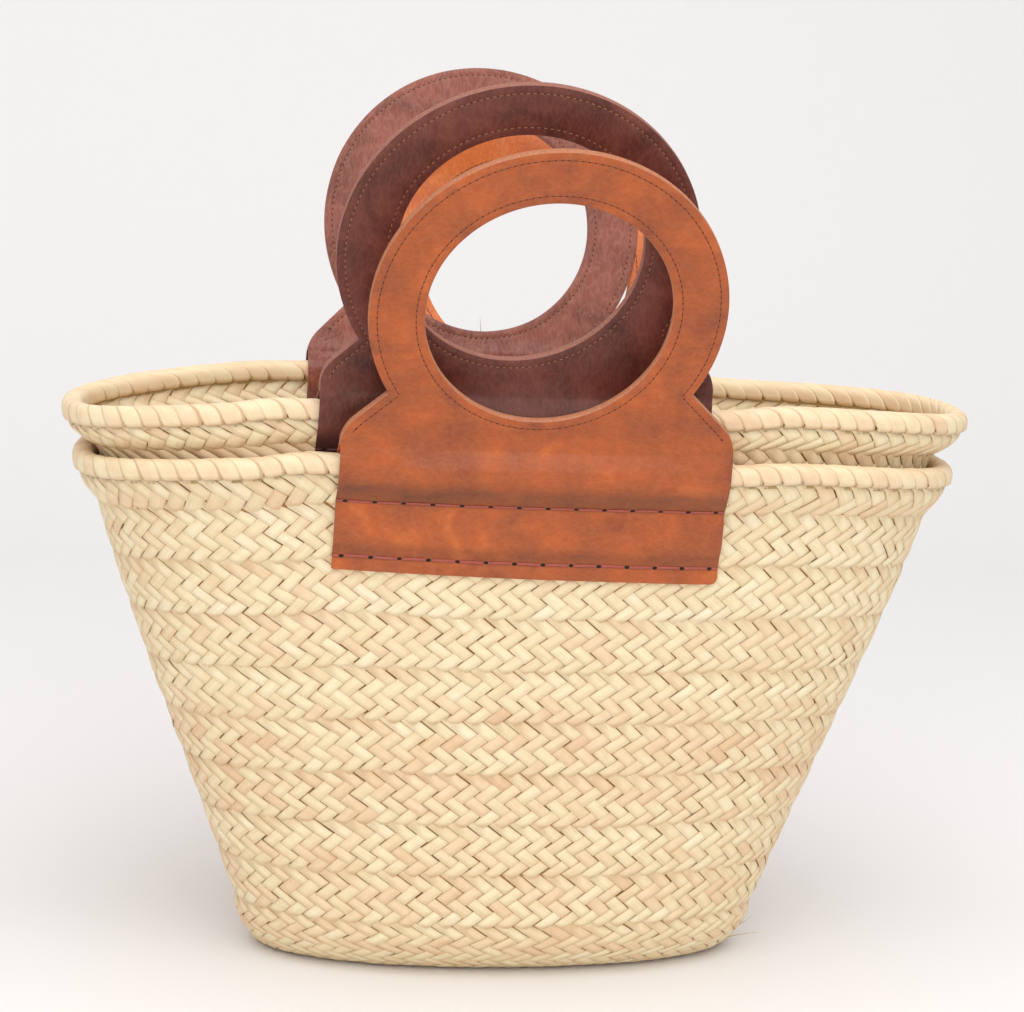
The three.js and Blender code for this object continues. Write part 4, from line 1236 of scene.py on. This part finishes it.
def makeStage():
    # a pale paper sweep: flat floor, quarter round, upright back
    x = np.linspace(-stage["halfWidth"], stage["halfWidth"], 3)
    back, curve = stage["backdrop"], stage["curve"]
    turn = np.linspace(0, math.pi / 2, 24)[1:]
    line = np.array([(-stage["floorReach"], 0.0), (back, 0.0),
                     *zip(back + curve * np.sin(turn), curve * (1 - np.cos(turn))),
                     (back + curve, stage["height"])])
    points = np.stack(np.broadcast_arrays(x[None, :], line[:, :1], line[:, 1:]), -1) / mm
    # matt paper, clear from its far side, so that the part can be looked at from behind
    material, tree = newMaterial("pale_paper_sweep")
    shader = addNode(tree, "BsdfPrincipled", {
        "Base Color": toLinear(stage["colour"]), "Roughness": 0.9, "Specular IOR Level": 0.1})
    sides = addNode(tree, "NewGeometry")
    clear = addNode(tree, "BsdfTransparent")
    oneWay = addNode(tree, "MixShader", {}, {0: sides.outputs["Backfacing"], 1: shader, 2: clear})
    addNode(tree, "OutputMaterial", {}, {"Surface": oneWay})
    sweep = makePiece("paper_sweep", points, [gridQuads(len(line), len(x))], [material])


def placeInScene(name, data, axes, place):
    # a lamp or camera whose x, y and z axes are three directions
    thing = bpy.data.objects.new(name, data)
    bpy.context.scene.collection.objects.link(thing)
    rows = np.column_stack([*axes, place]).tolist()
    thing.matrix_world = mathutils.Matrix(rows + [(0, 0, 0, 1)])
    return thing


def addLight(name, place, aim, size, power):
    # a white rectangle of light that looks from its place to its aim
    light = bpy.data.lights.new(name, "AREA")
    light.shape = "RECTANGLE"
    light.size, light.size_y = size
    light.energy = power
    z = unit(np.subtract(place, aim, dtype=float))
    x = unit(np.cross((0, 0, 1), z))
    placeInScene(name, light, (x, np.cross(z, x), z), place)


def makeCamera():
    # right, up and back directions from azimuth, elevation and roll
    azimuth, elevation, roll = (math.radians(view[k]) for k in ("azimuth", "elevation", "roll"))
    back = np.array([math.sin(azimuth) * math.cos(elevation),
                     -math.cos(azimuth) * math.cos(elevation), math.sin(elevation)])
    right = np.array([math.cos(azimuth), math.sin(azimuth), 0])
    up = np.cross(back, right)
    turned = right * math.cos(roll) + up * math.sin(roll)
    raised = -right * math.sin(roll) + up * math.cos(roll)
    data = bpy.data.cameras.new("camera")
    data.sensor_fit = "HORIZONTAL"
    data.sensor_width = view["sensor"]
    data.lens = view["focal"] / view["width"] * view["sensor"]
    data.clip_start, data.clip_end = 0.05, 30
    place = (np.array(view["target"]) + back * view["distance"]) * mm
    bpy.context.scene.camera = placeInScene("camera", data, (turned, raised, back), place)


makeStage()
for name, lamp in lights.items():
    addLight(name, **lamp)
world = bpy.data.worlds.new("studio")
bpy.context.scene.world = world
world.use_nodes = True
world.node_tree.nodes["Background"].inputs["Color"].default_value = toLinear("#fbfbfd")
world.node_tree.nodes["Background"].inputs["Strength"].default_value = 0.62
makeCamera()
bpy.context.scene.view_settings.view_transform = "Standard"
bpy.context.scene.view_settings.look = "None"

print("scene done")
